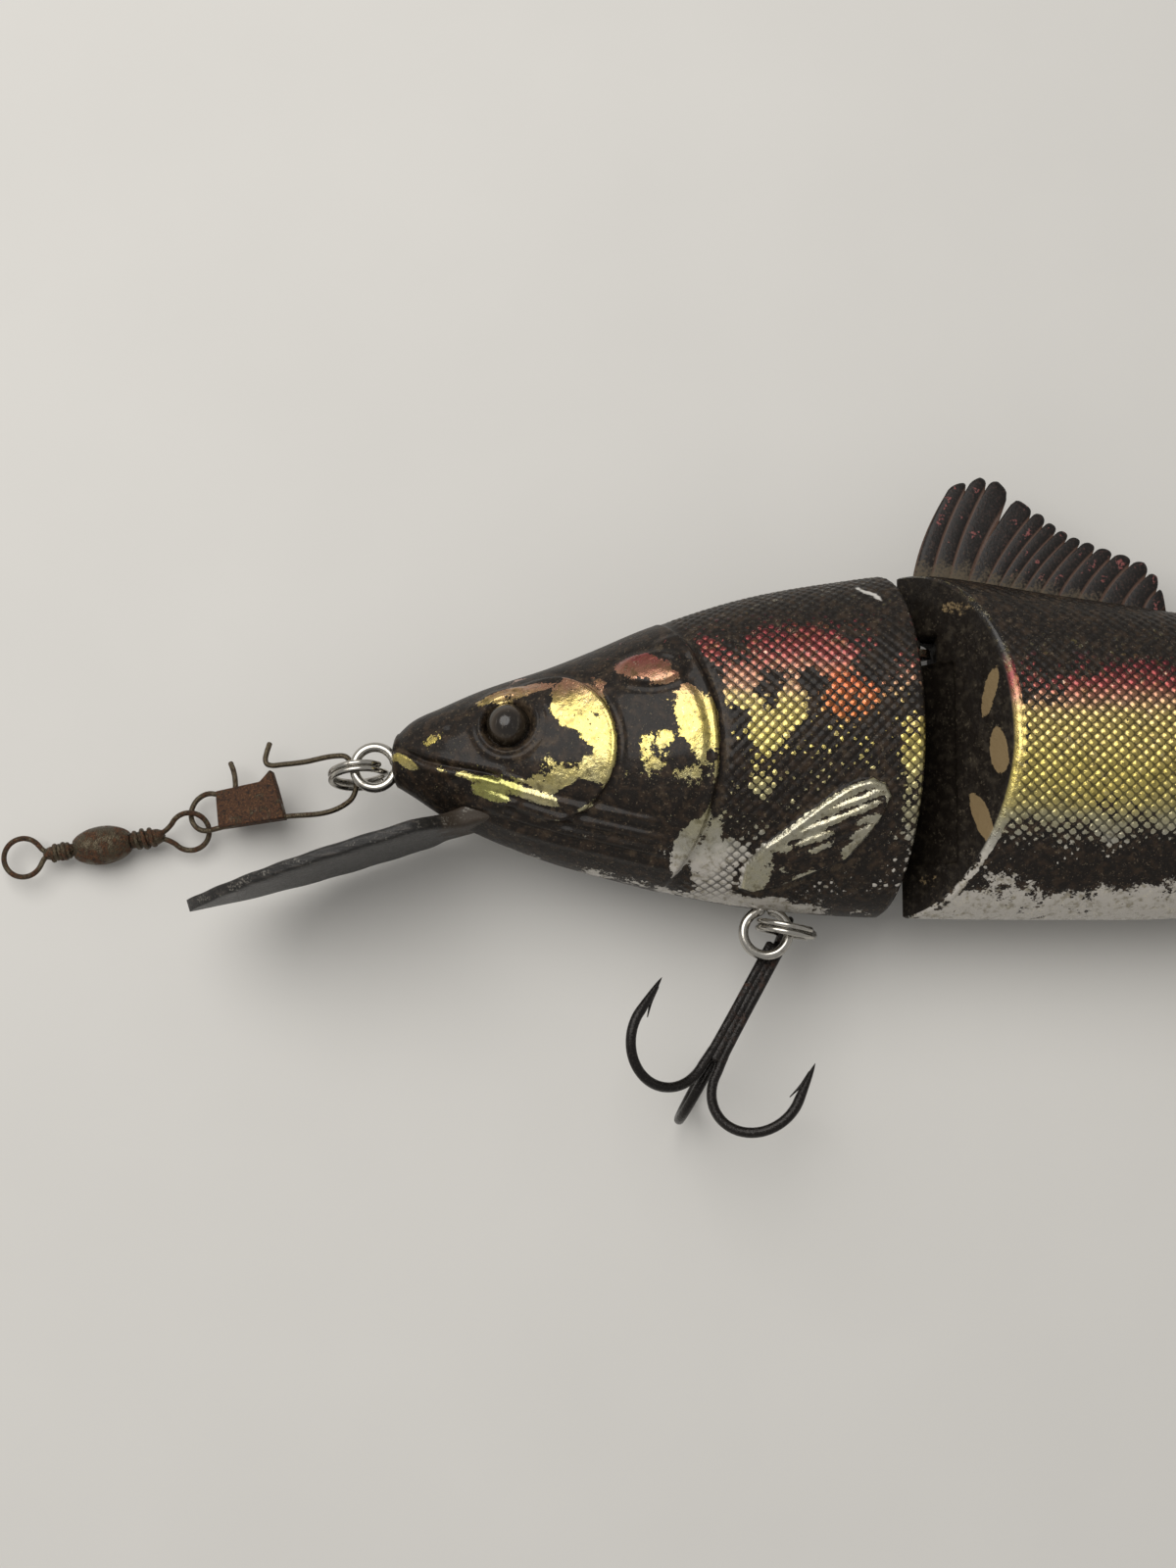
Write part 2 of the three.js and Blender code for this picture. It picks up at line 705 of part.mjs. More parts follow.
// An eye of the swivel: its loop, the wire's wrapped collar, and the headed stem inside the barrel
function swivelEye(collarRadius, collarLength, wraps, loopDistance) {
  const collarStart = barrelHalfLength + gap;
  const profile = [
    [0, stemHead.from],
    [stemHead.radius, stemHead.from],
    [stemHead.radius, stemHead.to],
    [stemRadius, stemHead.to],
    [stemRadius, collarStart],
  ];
  for (let wrap = 0; wrap < wraps; wrap++) {
    const from = collarStart + (collarLength * wrap) / wraps;
    const to = collarStart + (collarLength * (wrap + 1)) / wraps;
    const radius = collarRadius * (1 - 0.07 * wrap);
    profile.push([radius * 0.82, from], [radius, (from + to) / 2]);
  }
  const collarEnd = collarStart + collarLength;
  profile.push([collarRadius * 0.6, collarEnd], [0, collarEnd]);
  const loopCentre = collarEnd + loopDistance;
  const points = [new THREE.Vector3(collarEnd - 0.8, 0.4, 0), new THREE.Vector3(collarEnd + 0.4, 0.6, 0)];
  const steps = 8;
  for (let k = 0; k <= steps; k++) {
    const angle = THREE.MathUtils.degToRad(130 * (1 - (2 * k) / steps));
    const along = loopCentre + swivelLoopRadius * Math.cos(angle);
    points.push(new THREE.Vector3(along, swivelLoopRadius * Math.sin(angle), 0));
  }
  points.push(new THREE.Vector3(collarEnd + 0.4, -0.6, 0), new THREE.Vector3(collarEnd - 0.8, -0.4, 0));
  return geometryOf(solidOf(turned(profile, 8)).add(solidOf(wire(points, leaderWire, 16))));
}

function swivel() {
  const group = new THREE.Group();
  group.position.set(-48.2, -12.3, 3.35);
  group.rotation.z = THREE.MathUtils.degToRad(9);
  const snapEye = part('swivel_snap_eye', swivelEye(1.75, 4.1, 2, 5.3), oldBrass);
  snapEye.rotation.x = THREE.MathUtils.degToRad(20);
  const lineEye = part('swivel_line_eye', swivelEye(1.5, 3.6, 4, 4.5), oldBrass);
  lineEye.rotation.z = Math.PI;
  group.add(snapEye, part('swivel_barrel', swivelBarrel(), oldBrass), lineEye);
  return group;
}

const lure = new THREE.Group();
lure.position.set(-flatSpotX, -flatSpotY, 0);

lure.add(part('head_section', headSection(), paint));
lure.add(part('left_eye', eyeball(1), eyeGlass), part('right_eye', eyeball(-1), eyeGlass));
lure.add(part('diving_lip', lipPlate(), lipPlastic));

const towEye = part('tow_eye', screwEye(towEyeRadius, eyeWire), stainless);
towEye.applyMatrix4(towEyePlace);
const noseRing = part('nose_split_ring', splitRing(), stainless);
noseRing.position.set(-5.55, -2.15, 13.4);
noseRing.rotation.set(-0.22, 0, 0.1, 'ZXY');
lure.add(towEye, noseRing, snap(), swivel());

lure.add(hookSet({ eye: 'belly_eye', ring: 'belly_split_ring', treble: 'belly_treble' }, bellyHook));
lure.add(part('hinge_tongue', hingeTongue(), oldBrass), part('hinge_pin', hingePin(), stainless));

lure.add(part('rear_section', rearSection(), paint));
lure.add(part('dorsal_fin', dorsalFin(), finPlastic), part('tail_fin', tailFinBlade(), finPlastic));
lure.add(hookSet({ eye: 'rear_hook_eye', ring: 'rear_split_ring', treble: 'rear_treble' }, rearHook));

export default lure;
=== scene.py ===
"""The finish of a worn, jointed, trout-shaped fishing lure that lies on its right side."""
import math

import bmesh
import bpy
import numpy as np
from bpy.props import FloatProperty, FloatVectorProperty, IntProperty, PointerProperty
from mathutils import Matrix, Vector


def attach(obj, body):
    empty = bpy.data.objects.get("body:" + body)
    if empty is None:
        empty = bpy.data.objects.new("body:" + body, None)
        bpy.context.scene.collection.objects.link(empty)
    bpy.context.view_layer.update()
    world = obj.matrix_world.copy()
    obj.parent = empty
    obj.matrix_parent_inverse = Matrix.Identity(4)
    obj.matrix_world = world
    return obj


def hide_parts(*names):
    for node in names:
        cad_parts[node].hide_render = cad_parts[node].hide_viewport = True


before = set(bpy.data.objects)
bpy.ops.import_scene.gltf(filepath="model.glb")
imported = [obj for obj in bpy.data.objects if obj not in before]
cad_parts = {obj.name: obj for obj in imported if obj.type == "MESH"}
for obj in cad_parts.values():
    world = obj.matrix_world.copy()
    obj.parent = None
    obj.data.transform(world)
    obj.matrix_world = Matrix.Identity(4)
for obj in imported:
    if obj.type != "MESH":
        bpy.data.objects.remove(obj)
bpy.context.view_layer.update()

bl_info = {
    "name": "Jointed Trout Lure",
    "version": (1, 0, 0),
    "blender": (4, 5, 0),
    "location": "View3D > Sidebar > Lure",
    "description": "Builds a worn jointed fishing lure with its leader and hooks",
    "category": "Add Mesh",
}

# Lengths in the tables and in the modelling code are millimetres from the tip of the nose,
# with X towards the tail, Y towards the back and Z up out of the left flank.
MM = 0.001
FLAT_SPOT = np.array([70.0, 2.0, 0.0])
MID_PLANE = 16.0

STATIONS = (0, 3, 8, 14, 25, 40, 55, 70, 82, 105, 124, 150, 175, 196)
BACK = (2.9, 5.8, 8.2, 10.8, 14.5, 20.5, 25.4, 28.2, 29.4, 26.2, 23.3, 18.9, 13.4, 9.8)
BELLY = (-3.9, -5.7, -9, -12.1, -16.4, -20.4, -23.4, -24.8, -25.2, -25.4, -25.1, -21.8, -14, -8.2)
HALF_THICKNESS = (3.4, 5.6, 8.3, 10.4, 13, 15.3, 16.3, 16.4, 16.4, 16.4, 16.4, 16.1, 9.8, 4.2)
BACK_FULLNESS = 2.2
BELLY_FULLNESS = 1.75
NOSE_ROUND = 1.2
REAR_END = 196.0

NOTCH_X = 76.6
NOTCH_SLOPE = 0.34
WEDGE_X = 80.4
WEDGE_SLOPE = 0.955
HINGE_HEIGHT = 16.8
SLOT_HALF_HEIGHT = 2.3
SLOT_HALF_WIDTH = 8.0
SLOT_END = 85.8

EYE = (18.7, 4.0)
EYE_RADIUS = 3.4
EYE_BASE = 9.5
EYE_DOME = 2.8
CHEEK = (25.0, 0.3, 10.8, 11.6)
TEMPLE = (40.7, 11.8, 6.0, 3.2)
GILL_CENTRE = (21.4, -0.2)
GILL_RADIUS = 30.0
PECTORAL = ((54.1, -20.8), (54.8, -17.6), (57.7, -14.4), (60.7, -12.5), (66.6, -8.2), (71, -5.5),
            (74, -4.8), (76.2, -5.5), (77.3, -7.5), (76.1, -10.4), (73.9, -13.3), (70.5, -17.0),
            (60.9, -20.6), (56.4, -21.5))
PECTORAL_ROOT = (53.5, -21.2)
PECTORAL_RAY_LEAN = 20.0
PECTORAL_RAY_PITCH = 1.5
PECTORAL_PATCHES = {
    "band": (68.0, -9.6, 12.5, 2.3, 26, 1.25),
    "root": (56.4, -18.2, 3.2, 2.4, 40, 1.3),
    "tail_end": (73.6, -12.0, 2.2, 2.2, 0, 0.9),
    "low": (71.8, -14.6, 2.6, 1.8, 40, 0.9),
    "middle": (66.0, -14.0, 3.0, 1.2, 20, 0.6),
    "foot": (64.5, -19.8, 4.4, 0.5, 16, 1.2),
}
CHIPS = {
    "high": (74.4, 25.0, 1.2, 0.35, -25, 1.0),
    "higher": (75.9, 24.0, 0.9, 0.35, -50, 1.0),
    "low": (73.3, 25.8, 0.5, 0.25, -20, 0.8),
}
OCHRE_PATCHES = {
    "upper": (92.6, 8.8, 0.9, 4.2, -14, 1.0),
    "middle": (93.6, -0.6, 1.2, 3.6, 4, 1.2),
    "lower": (91.2, -10.6, 1.1, 4.4, 16, 1.1),
    "top_specks": (88.6, 22.6, 3.0, 1.3, -20, 0.6),
    "foot": (84.6, -19.6, 2.4, 1.4, 0, 0.55),
}

# Patches where the foil shows through the grime: middle, reach along and across, lean in degrees, strength
HEAD_PATCHES = {
    "brow": (19.4, 8.6, 6.0, 1.1, 14, 1.5),
    "cheek_top": (29.8, 7.0, 4.6, 4.4, 0, 1.6),
    "cheek_rear": (32.6, 0.5, 2.6, 6.0, 0, 1.5),
    "cheek_middle": (27.0, -3.2, 4.2, 3.2, 10, 1.2),
    "cheek_low": (23.0, -6.6, 4.2, 1.7, -22, 1.5),
    "cheek_foot": (31.5, -8.6, 2.6, 1.4, 30, 0.9),
    "jaw": (16.4, -5.6, 3.6, 1.9, -22, 1.6),
    "jaw_line": (9.6, -2.7, 4.4, 0.7, -18, 0.9),
    "snout": (7.0, 2.6, 2.4, 1.0, 30, 0.7),
    "lip_corner": (2.4, -0.9, 2.4, 0.7, -35, 1.2),
    "temple": (39.6, 11.8, 4.6, 2.1, -15, 1.4),
    "behind_temple": (44.4, 9.0, 3.4, 1.5, -30, 0.9),
    "gill_bright": (47.6, 3.6, 3.0, 4.8, 18, 1.6),
    "gill_middle": (41.4, -0.6, 2.6, 3.6, 0, 0.8),
    "gill_low": (46.0, -5.0, 2.4, 2.4, 0, 0.5),
    "membrane": (47.6, -14.0, 2.6, 4.8, -38, 1.8),
    "belly_net": (51.6, -18.4, 4.6, 4.0, 20, 1.7),
    "flank_front": (50.4, 14.2, 2.6, 4.4, 40, 1.1),
    "flank_pink": (63.0, 15.2, 9.5, 4.0, -4, 1.2),
    "netting_left": (55.0, 9.0, 3.4, 3.4, 0, 1.4),
    "netting_right": (62.2, 6.6, 2.4, 4.2, -12, 1.4),
    "netting_middle": (58.6, 3.4, 3.2, 4.2, 0, 1.5),
    "netting_foot": (57.6, -4.4, 2.2, 3.6, 0, 1.1),
    "ember": (70.8, 7.6, 4.6, 3.6, 0, 0.95),
    "blush": (68.2, 13.6, 2.6, 2.8, 0, 1.3),
    "rim_yellow": (80.4, 0.2, 2.0, 4.6, 0, 1.2),
    "rim_pale": (80.4, -9.0, 1.6, 6.0, 0, 0.8),
    "rim_dots": (79.0, 11.0, 2.2, 5.0, 0, 0.7),
    "belly_strip": (52.0, -23.4, 14.0, 1.9, -4, 1.6),
    "belly_front": (38.0, -19.6, 9.0, 0.9, -14, 0.7),
    "fin_base": (56.6, -14.6, 2.4, 1.2, 45, 0.6),
}
DARK_SPOTS = {
    "cheek_spot": (28.8, -0.6, 3.2, 1.5, 0, 1.3),
    "cheek_foot_spot": (29.6, -6.8, 3.0, 1.6, 10, 1.2),
    "netting_spot": (58.2, 7.4, 1.5, 2.4, 35, 1.3),
    "blush_spot": (64.4, 10.2, 1.2, 2.6, -20, 1.2),
}
# How bare the rear section is at heights from belly to back, on the flank and on the rim
REAR_BARE = ((-26, -23, -20.5, -17.5, -14.5, -11, -7, 6, 9, 12.3, 14.5, 17, 19),
             (1.0, 0.75, 0.15, -0.25, 0.15, 0.75, 1.3, 1.3, 1.1, 0.45, -0.05, -0.25, -1.0))
RIM_BARE = ((-22, -17, -14, -6, 8, 12, 21, 24), (0.1, 0.4, 1.0, 1.2, 1.2, 1.1, 1.1, 0.1))
REAR_DARK_SPOTS = {
    "upper_corner": (99.0, 9.0, 5.0, 3.4, -20, 0.9),
    "upper_edge": (104.0, 12.4, 5.0, 1.8, -10, 0.9),
    "net_edge": (96.8, 1.0, 1.6, 6.0, 0, 0.35),
    "low_front": (97.0, -15.0, 5.0, 3.6, 0, 0.8),
    "low_middle": (104.6, -17.6, 5.0, 3.0, 10, 0.9),
    "low_rear": (117.0, -16.0, 6.0, 3.4, 0, 0.9),
}


class BodySizes(bpy.types.PropertyGroup):
    """Sizes of the skin's relief."""

    net_pitch: FloatProperty(
        name="Net pitch", description="Distance between the lines of the embossed net",
        default=0.00131, unit="LENGTH", precision=5)
    net_height: FloatProperty(
        name="Net height", description="How far the net's cells stand out of the skin",
        default=0.000085, unit="LENGTH", precision=6)
    cell: FloatProperty(
        name="Mesh cell", description="Size of the mesh cells on the flank that shows",
        default=0.00031, unit="LENGTH", precision=6)
    rim_round: FloatProperty(
        name="Rim round", description="Radius of the painted edge round the rear section's wedge",
        default=0.0009, unit="LENGTH", precision=5)


class WireSizes(bpy.types.PropertyGroup):
    """Sizes of the wire fittings."""

    eye_wire: FloatProperty(
        name="Screw eye wire", description="Wire radius of the screw eyes",
        default=0.00078, unit="LENGTH", precision=5)
    ring_radius: FloatProperty(
        name="Split ring radius", description="Radius of a split ring, to the middle of its wire",
        default=0.0044, unit="LENGTH", precision=5)
    ring_wire: FloatProperty(
        name="Split ring wire", description="Wire radius of the split rings",
        default=0.00048, unit="LENGTH", precision=5)
    leader_wire: FloatProperty(
        name="Leader wire", description="Wire radius of the snap and of the swivel's eyes",
        default=0.00044, unit="LENGTH", precision=5)
    hook_wire: FloatProperty(
        name="Hook wire", description="Wire radius of the treble hooks",
        default=0.0008, unit="LENGTH", precision=5)


class FinishColours(bpy.types.PropertyGroup):
    """Colours of the finishes."""

    pink: FloatVectorProperty(
        name="Pink foil", description="Upper flank", subtype="COLOR",
        default=(0.27, 0.062, 0.058), min=0, max=1)
    gold: FloatVectorProperty(
        name="Gold foil", description="Middle of the flank", subtype="COLOR",
        default=(0.58, 0.47, 0.13), min=0, max=1)
    silver: FloatVectorProperty(
        name="Silver foil", description="Lower flank", subtype="COLOR",
        default=(0.42, 0.40, 0.34), min=0, max=1)
    belly: FloatVectorProperty(
        name="Belly white", description="Paint along the belly", subtype="COLOR",
        default=(0.46, 0.43, 0.385), min=0, max=1)
    back: FloatVectorProperty(
        name="Back black", description="Paint along the back", subtype="COLOR",
        default=(0.0105, 0.0085, 0.0075), min=0, max=1)
    grime: FloatVectorProperty(
        name="Grime", description="Old dirt over the foil", subtype="COLOR",
        default=(0.0095, 0.0068, 0.0050), min=0, max=1)
    dust: FloatVectorProperty(
        name="Dust", description="Light specks in the dirt", subtype="COLOR",
        default=(0.17, 0.13, 0.085), min=0, max=1)
    steel: FloatVectorProperty(
        name="Bright steel", description="Screw eyes and split rings", subtype="COLOR",
        default=(0.46, 0.44, 0.40), min=0, max=1)
    brass: FloatVectorProperty(
        name="Old brass", description="Snap and swivel", subtype="COLOR",
        default=(0.085, 0.068, 0.045), min=0, max=1)
    rust: FloatVectorProperty(
        name="Rust", description="Rust on the hooks and the leader", subtype="COLOR",
        default=(0.060, 0.026, 0.012), min=0, max=1)
    iron: FloatVectorProperty(
        name="Hook iron", description="Black finish of the hooks", subtype="COLOR",
        default=(0.012, 0.010, 0.009), min=0, max=1)
    lip: FloatVectorProperty(
        name="Lip plastic", description="Diving lip", subtype="COLOR",
        default=(0.014, 0.013, 0.012), min=0, max=1)
    floor: FloatVectorProperty(
        name="Floor", description="Pale table", subtype="COLOR",
        default=(0.66, 0.648, 0.62), min=0, max=1)


class StageSettings(bpy.types.PropertyGroup):
    """Camera and light."""

    distance: FloatProperty(
        name="Camera distance", description="From the camera to its target",
        default=0.360, unit="LENGTH")
    tilt: FloatProperty(
        name="Camera tilt", description="Lean of the view from straight down, towards the belly",
        default=math.radians(7.5), subtype="ANGLE")
    lens: FloatProperty(
        name="Lens", description="Focal length on a 36 mm sensor, in millimetres", default=52.26)
    sky: FloatProperty(
        name="Sky strength", description="Strength of the even light from all round", default=0.40)
    lamp: FloatProperty(
        name="Lamp power", description="Power of the large lamp, in watts", default=5.2)


def smoothstep(low, high, value):
    part = np.clip((value - low) / (high - low), 0, 1)
    return part * part * (3 - 2 * part)


def ridge(distance, width):
    return np.exp(-((distance / width) ** 2))


def curve(stations, values, at):
    """A smooth curve through values at stations, with each slope the mean of its two neighbours'."""
    stations = np.asarray(stations, float)
    values = np.asarray(values, float)
    at = np.asarray(at, float)
    slopes = np.diff(values) / np.diff(stations)
    slopes = np.concatenate([slopes[:1], (slopes[:-1] + slopes[1:]) / 2, slopes[-1:]])
    cell = np.clip(np.searchsorted(stations, at, side="right") - 1, 0, len(stations) - 2)
    span = stations[cell + 1] - stations[cell]
    t = (at - stations[cell]) / span
    start = values[cell] * (1 + 2 * t) * (1 - t) ** 2 + values[cell + 1] * t * t * (3 - 2 * t)
    lean = slopes[cell] * t * (1 - t) ** 2 + slopes[cell + 1] * t * t * (t - 1)
    return start + span * lean


def smooth_path(points, step=0.25):
    """Points on a smooth curve through the given ones, about step apart."""
    points = np.asarray(points, float)
    lengths = np.concatenate([[0], np.cumsum(np.linalg.norm(np.diff(points, axis=0), axis=1))])
    at = np.linspace(0, lengths[-1], max(int(lengths[-1] / step), 2) + 1)
    return np.stack([curve(lengths, points[:, axis], at) for axis in range(3)], axis=1)


def placed(points, place):
    """Points given in a piece's own frame, moved by a 4 by 4 matrix in millimetres."""
    points = np.asarray(points, float)
    flat = np.concatenate([points.reshape(-1, 3), np.ones((points.size // 3, 1))], axis=1)
    return (flat @ np.array(place).T)[:, :3].reshape(points.shape)


def frame_at(x, y, z, turns=""):
    """A matrix for a place and turns such as 'z-29.3 x-11.6', applied from left to right."""
    place = Matrix.Translation((x, y, z))
    for turn in turns.split():
        place = place @ Matrix.Rotation(math.radians(float(turn[1:])), 4, turn[0].upper())
    return place


def add_surface(bm, points, fields=None):
    """Adds a grid whose vertices are moved to points, in millimetres, and welded where they meet."""
    columns, rows = points.shape[0] - 1, points.shape[1] - 1
    layers = {key: bm.verts.layers.float.get(key) or bm.verts.layers.float.new(key) for key in fields or {}}
    made = bmesh.ops.create_grid(bm, x_segments=columns, y_segments=rows, size=0.5)["verts"]
    row_frame = (points - FLAT_SPOT) * MM
    for vert in made:
        column = round((vert.co.x + 0.5) * columns)
        row = round((vert.co.y + 0.5) * rows)
        vert.co = row_frame[column, row]
        for key, layer in layers.items():
            vert[layer] = fields[key][column, row]
    bmesh.ops.remove_doubles(bm, verts=made, dist=2e-6)


def wire_skin(path, radius, sides=12, closed=False):
    """Skin of a round wire along path, in millimetres; radius is one number or one for each point."""
    path = np.asarray(path, float)
    radius = np.array(np.broadcast_to(radius, len(path)), float)
    tangents = np.gradient(path, axis=0)
    if closed:
        tangents[0] = tangents[-1] = path[1] - path[-2]
    tangents /= np.linalg.norm(tangents, axis=1)[:, None]
    normal = np.cross(tangents[0], (0.13, 0.31, 0.94))
    normals = []
    for tangent in tangents:
        normal = normal - tangent * normal.dot(tangent)
        normal /= np.linalg.norm(normal)
        normals.append(normal)
    normals = np.array(normals)
    if closed:
        normals[-1] = normals[0]
    else:
        path, tangents, normals, radius = rounded_ends(path, tangents, normals, radius)
    sideways = np.cross(tangents, normals)
    angles = np.linspace(0, math.tau, sides + 1)
    around = (normals[:, None] * np.cos(angles)[None, :, None]
              + sideways[:, None] * np.sin(angles)[None, :, None])
    return path[:, None] + around * radius[:, None, None]


def rounded_ends(path, tangents, normals, radius):
    lifts = np.radians([90, 60, 30])
    front = path[0] - tangents[0] * (radius[0] * np.sin(lifts) * 0.6)[:, None]
    rear = path[-1] + tangents[-1] * (radius[-1] * np.sin(lifts[::-1]) * 0.6)[:, None]
    ends = len(lifts)
    path = np.concatenate([front, path, rear])
    tangents = np.concatenate([tangents[:1].repeat(ends, 0), tangents, tangents[-1:].repeat(ends, 0)])
    normals = np.concatenate([normals[:1].repeat(ends, 0), normals, normals[-1:].repeat(ends, 0)])
    radius = np.concatenate([radius[0] * np.cos(lifts), radius, radius[-1] * np.cos(lifts[::-1])])
    return path, tangents, normals, radius


def circle_path(radius, start=0, end=360, steps=48, lift=None):
    """Points round a circle in the XY plane, in degrees, with an optional height for each."""
    angles = np.radians(np.linspace(start, end, steps + 1))
    height = np.zeros_like(angles) if lift is None else lift(np.degrees(angles))
    return np.stack([radius * np.cos(angles), radius * np.sin(angles), height], axis=1)


def turned_skin(profile, sides=40):
    """Skin of a shape turned about its own X axis from (distance, radius) pairs."""
    profile = np.asarray(profile, float)
    angles = np.linspace(0, math.tau, sides + 1)
    skin = np.zeros((len(profile), sides + 1, 3))
    skin[..., 0] = profile[:, :1]
    skin[..., 1] = profile[:, 1:] * np.cos(angles)
    skin[..., 2] = profile[:, 1:] * np.sin(angles)
    return skin


def finish_piece(bm, name, material, body, slot, *nodes):
    """Turns a bmesh into an object that rides on a body and stands for CAD nodes."""
    bmesh.ops.recalc_face_normals(bm, faces=bm.faces)
    mesh = bpy.data.meshes.new(name)
    for face in bm.faces:
        face.smooth = True
    bm.to_mesh(mesh)
    bm.free()
    piece = bpy.data.objects.new(name, mesh)
    bpy.context.scene.collection.objects.link(piece)
    mesh.materials.append(material)
    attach(piece, body)
    if nodes:
        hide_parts(*nodes)
    return piece


def wire_piece(name, skins, material, body, slot, *nodes):
    bm = bmesh.new()
    for skin in skins:
        add_surface(bm, skin)
    return finish_piece(bm, name, material, body, slot, *nodes)


class Value:
    """A number that varies over a surface; arithmetic on it adds Math nodes to its material."""

    def __init__(self, finish, socket):
        self.finish = finish
        self.socket = socket

    def __add__(self, other):
        return self.finish.math("ADD", self, other)

    __radd__ = __add__

    def __mul__(self, other):
        return self.finish.math("MULTIPLY", self, other)

    __rmul__ = __mul__

    def __sub__(self, other):
        return self.finish.math("SUBTRACT", self, other)

    def __rsub__(self, other):
        return self.finish.math("SUBTRACT", other, self)

    def __truediv__(self, other):
        return self.finish.math("DIVIDE", self, other)

    def cosine(self):
        return self.finish.math("COSINE", self)

    def largest(self, other):
        return self.finish.math("MAXIMUM", self, other)

    def absolute(self):
        return self.finish.math("ABSOLUTE", self)


class Finish:
    """One material under construction. Sizes are in millimetres."""

    def __init__(self, name, **constants):
        self.material = bpy.data.materials.new(name)
        self.material.use_nodes = True
        self.tree = self.material.node_tree
        self.shader = self.tree.nodes["Principled BSDF"]
        for socket, value in constants.items():
            self.shader.inputs[socket.replace("_", " ")].default_value = value
        position = self.node("ShaderNodeTexCoord").outputs["Object"]
        scaled = self.node("ShaderNodeVectorMath", {"operation": "SCALE"}, {"Vector": position, "Scale": 1 / MM})
        self.position = scaled.outputs["Vector"]

    def node(self, kind, settings=None, inputs=None):
        made = self.tree.nodes.new(kind)
        for key, value in (settings or {}).items():
            if key == "stops":
                self.set_stops(made.color_ramp.elements, value)
            else:
                setattr(made, key, value)
        for key, value in (inputs or {}).items():
            self.feed(made.inputs[key], value)
        return made

    def set_stops(self, elements, stops):
        while len(elements) < len(stops):
            elements.new(1)
        for element, (place, colour) in zip(elements, stops):
            element.position = place
            element.color = (*colour, 1)

    def feed(self, socket, value):
        if isinstance(value, Value):
            value = value.socket
        if isinstance(value, bpy.types.NodeSocket):
            self.tree.links.new(value, socket)
        elif socket.type == "RGBA" and len(value) == 3:
            socket.default_value = (*value, 1)
        else:
            socket.default_value = value

    def math(self, operation, *values):
        made = self.node("ShaderNodeMath", {"operation": operation}, dict(enumerate(values)))
        return Value(self, made.outputs[0])

    def attribute(self, name):
        made = self.node("ShaderNodeAttribute", {"attribute_name": name})
        return Value(self, made.outputs["Fac"])

    def axis(self, letter):
        made = self.node("ShaderNodeSeparateXYZ", None, {"Vector": self.position})
        return Value(self, made.outputs[letter])

    def stretched(self, x, y, z, turn=0):
        """Position squeezed by a factor on each axis, for streaks and brushing."""
        settings = {"vector_type": "POINT"}
        inputs = {"Vector": self.position, "Scale": (x, y, z), "Rotation": (0, 0, math.radians(turn))}
        return self.node("ShaderNodeMapping", settings, inputs).outputs["Vector"]

    def noise(self, size, seed=0, detail=3, roughness=0.55, vector=None):
        """Soft noise, stretched so that it runs from about 0 to 1."""
        inputs = {"Vector": vector or self.position, "W": seed, "Scale": 1 / size, "Detail": detail,
                  "Roughness": roughness}
        made = self.node("ShaderNodeTexNoise", {"noise_dimensions": "4D"}, inputs)
        return (Value(self, made.outputs["Fac"]) - 0.5) * 1.9 + 0.5

    def cells(self, size, randomness=1.0, vector=None):
        inputs = {"Vector": vector or self.position, "Scale": 1 / size, "Randomness": randomness}
        return Value(self, self.node("ShaderNodeTexVoronoi", None, inputs).outputs["Distance"])

    def step(self, value, low, high):
        made = self.node("ShaderNodeMapRange", {"interpolation_type": "SMOOTHSTEP"},
                         {"Value": value, "From Min": low, "From Max": high})
        return Value(self, made.outputs["Result"])

    def ramp(self, value, stops):
        return self.node("ShaderNodeValToRGB", {"stops": stops}, {"Fac": value}).outputs["Color"]

    def mix(self, first, second, factor, blend="MIX"):
        settings = {"data_type": "RGBA", "blend_type": blend}
        made = self.node("ShaderNodeMix", settings, {0: factor, 6: first, 7: second})
        return made.outputs[2]

    def bump(self, height, distance, strength=1.0, normal=None):
        inputs = {"Height": height, "Distance": distance * MM, "Strength": strength}
        if normal:
            inputs["Normal"] = normal
        return self.node("ShaderNodeBump", None, inputs).outputs["Normal"]

    def wear(self, **values):
        """Feeds the shader's sockets and returns the material."""
        for socket, value in values.items():
            self.feed(self.shader.inputs[socket.replace("_", " ")], value)
        return self.material


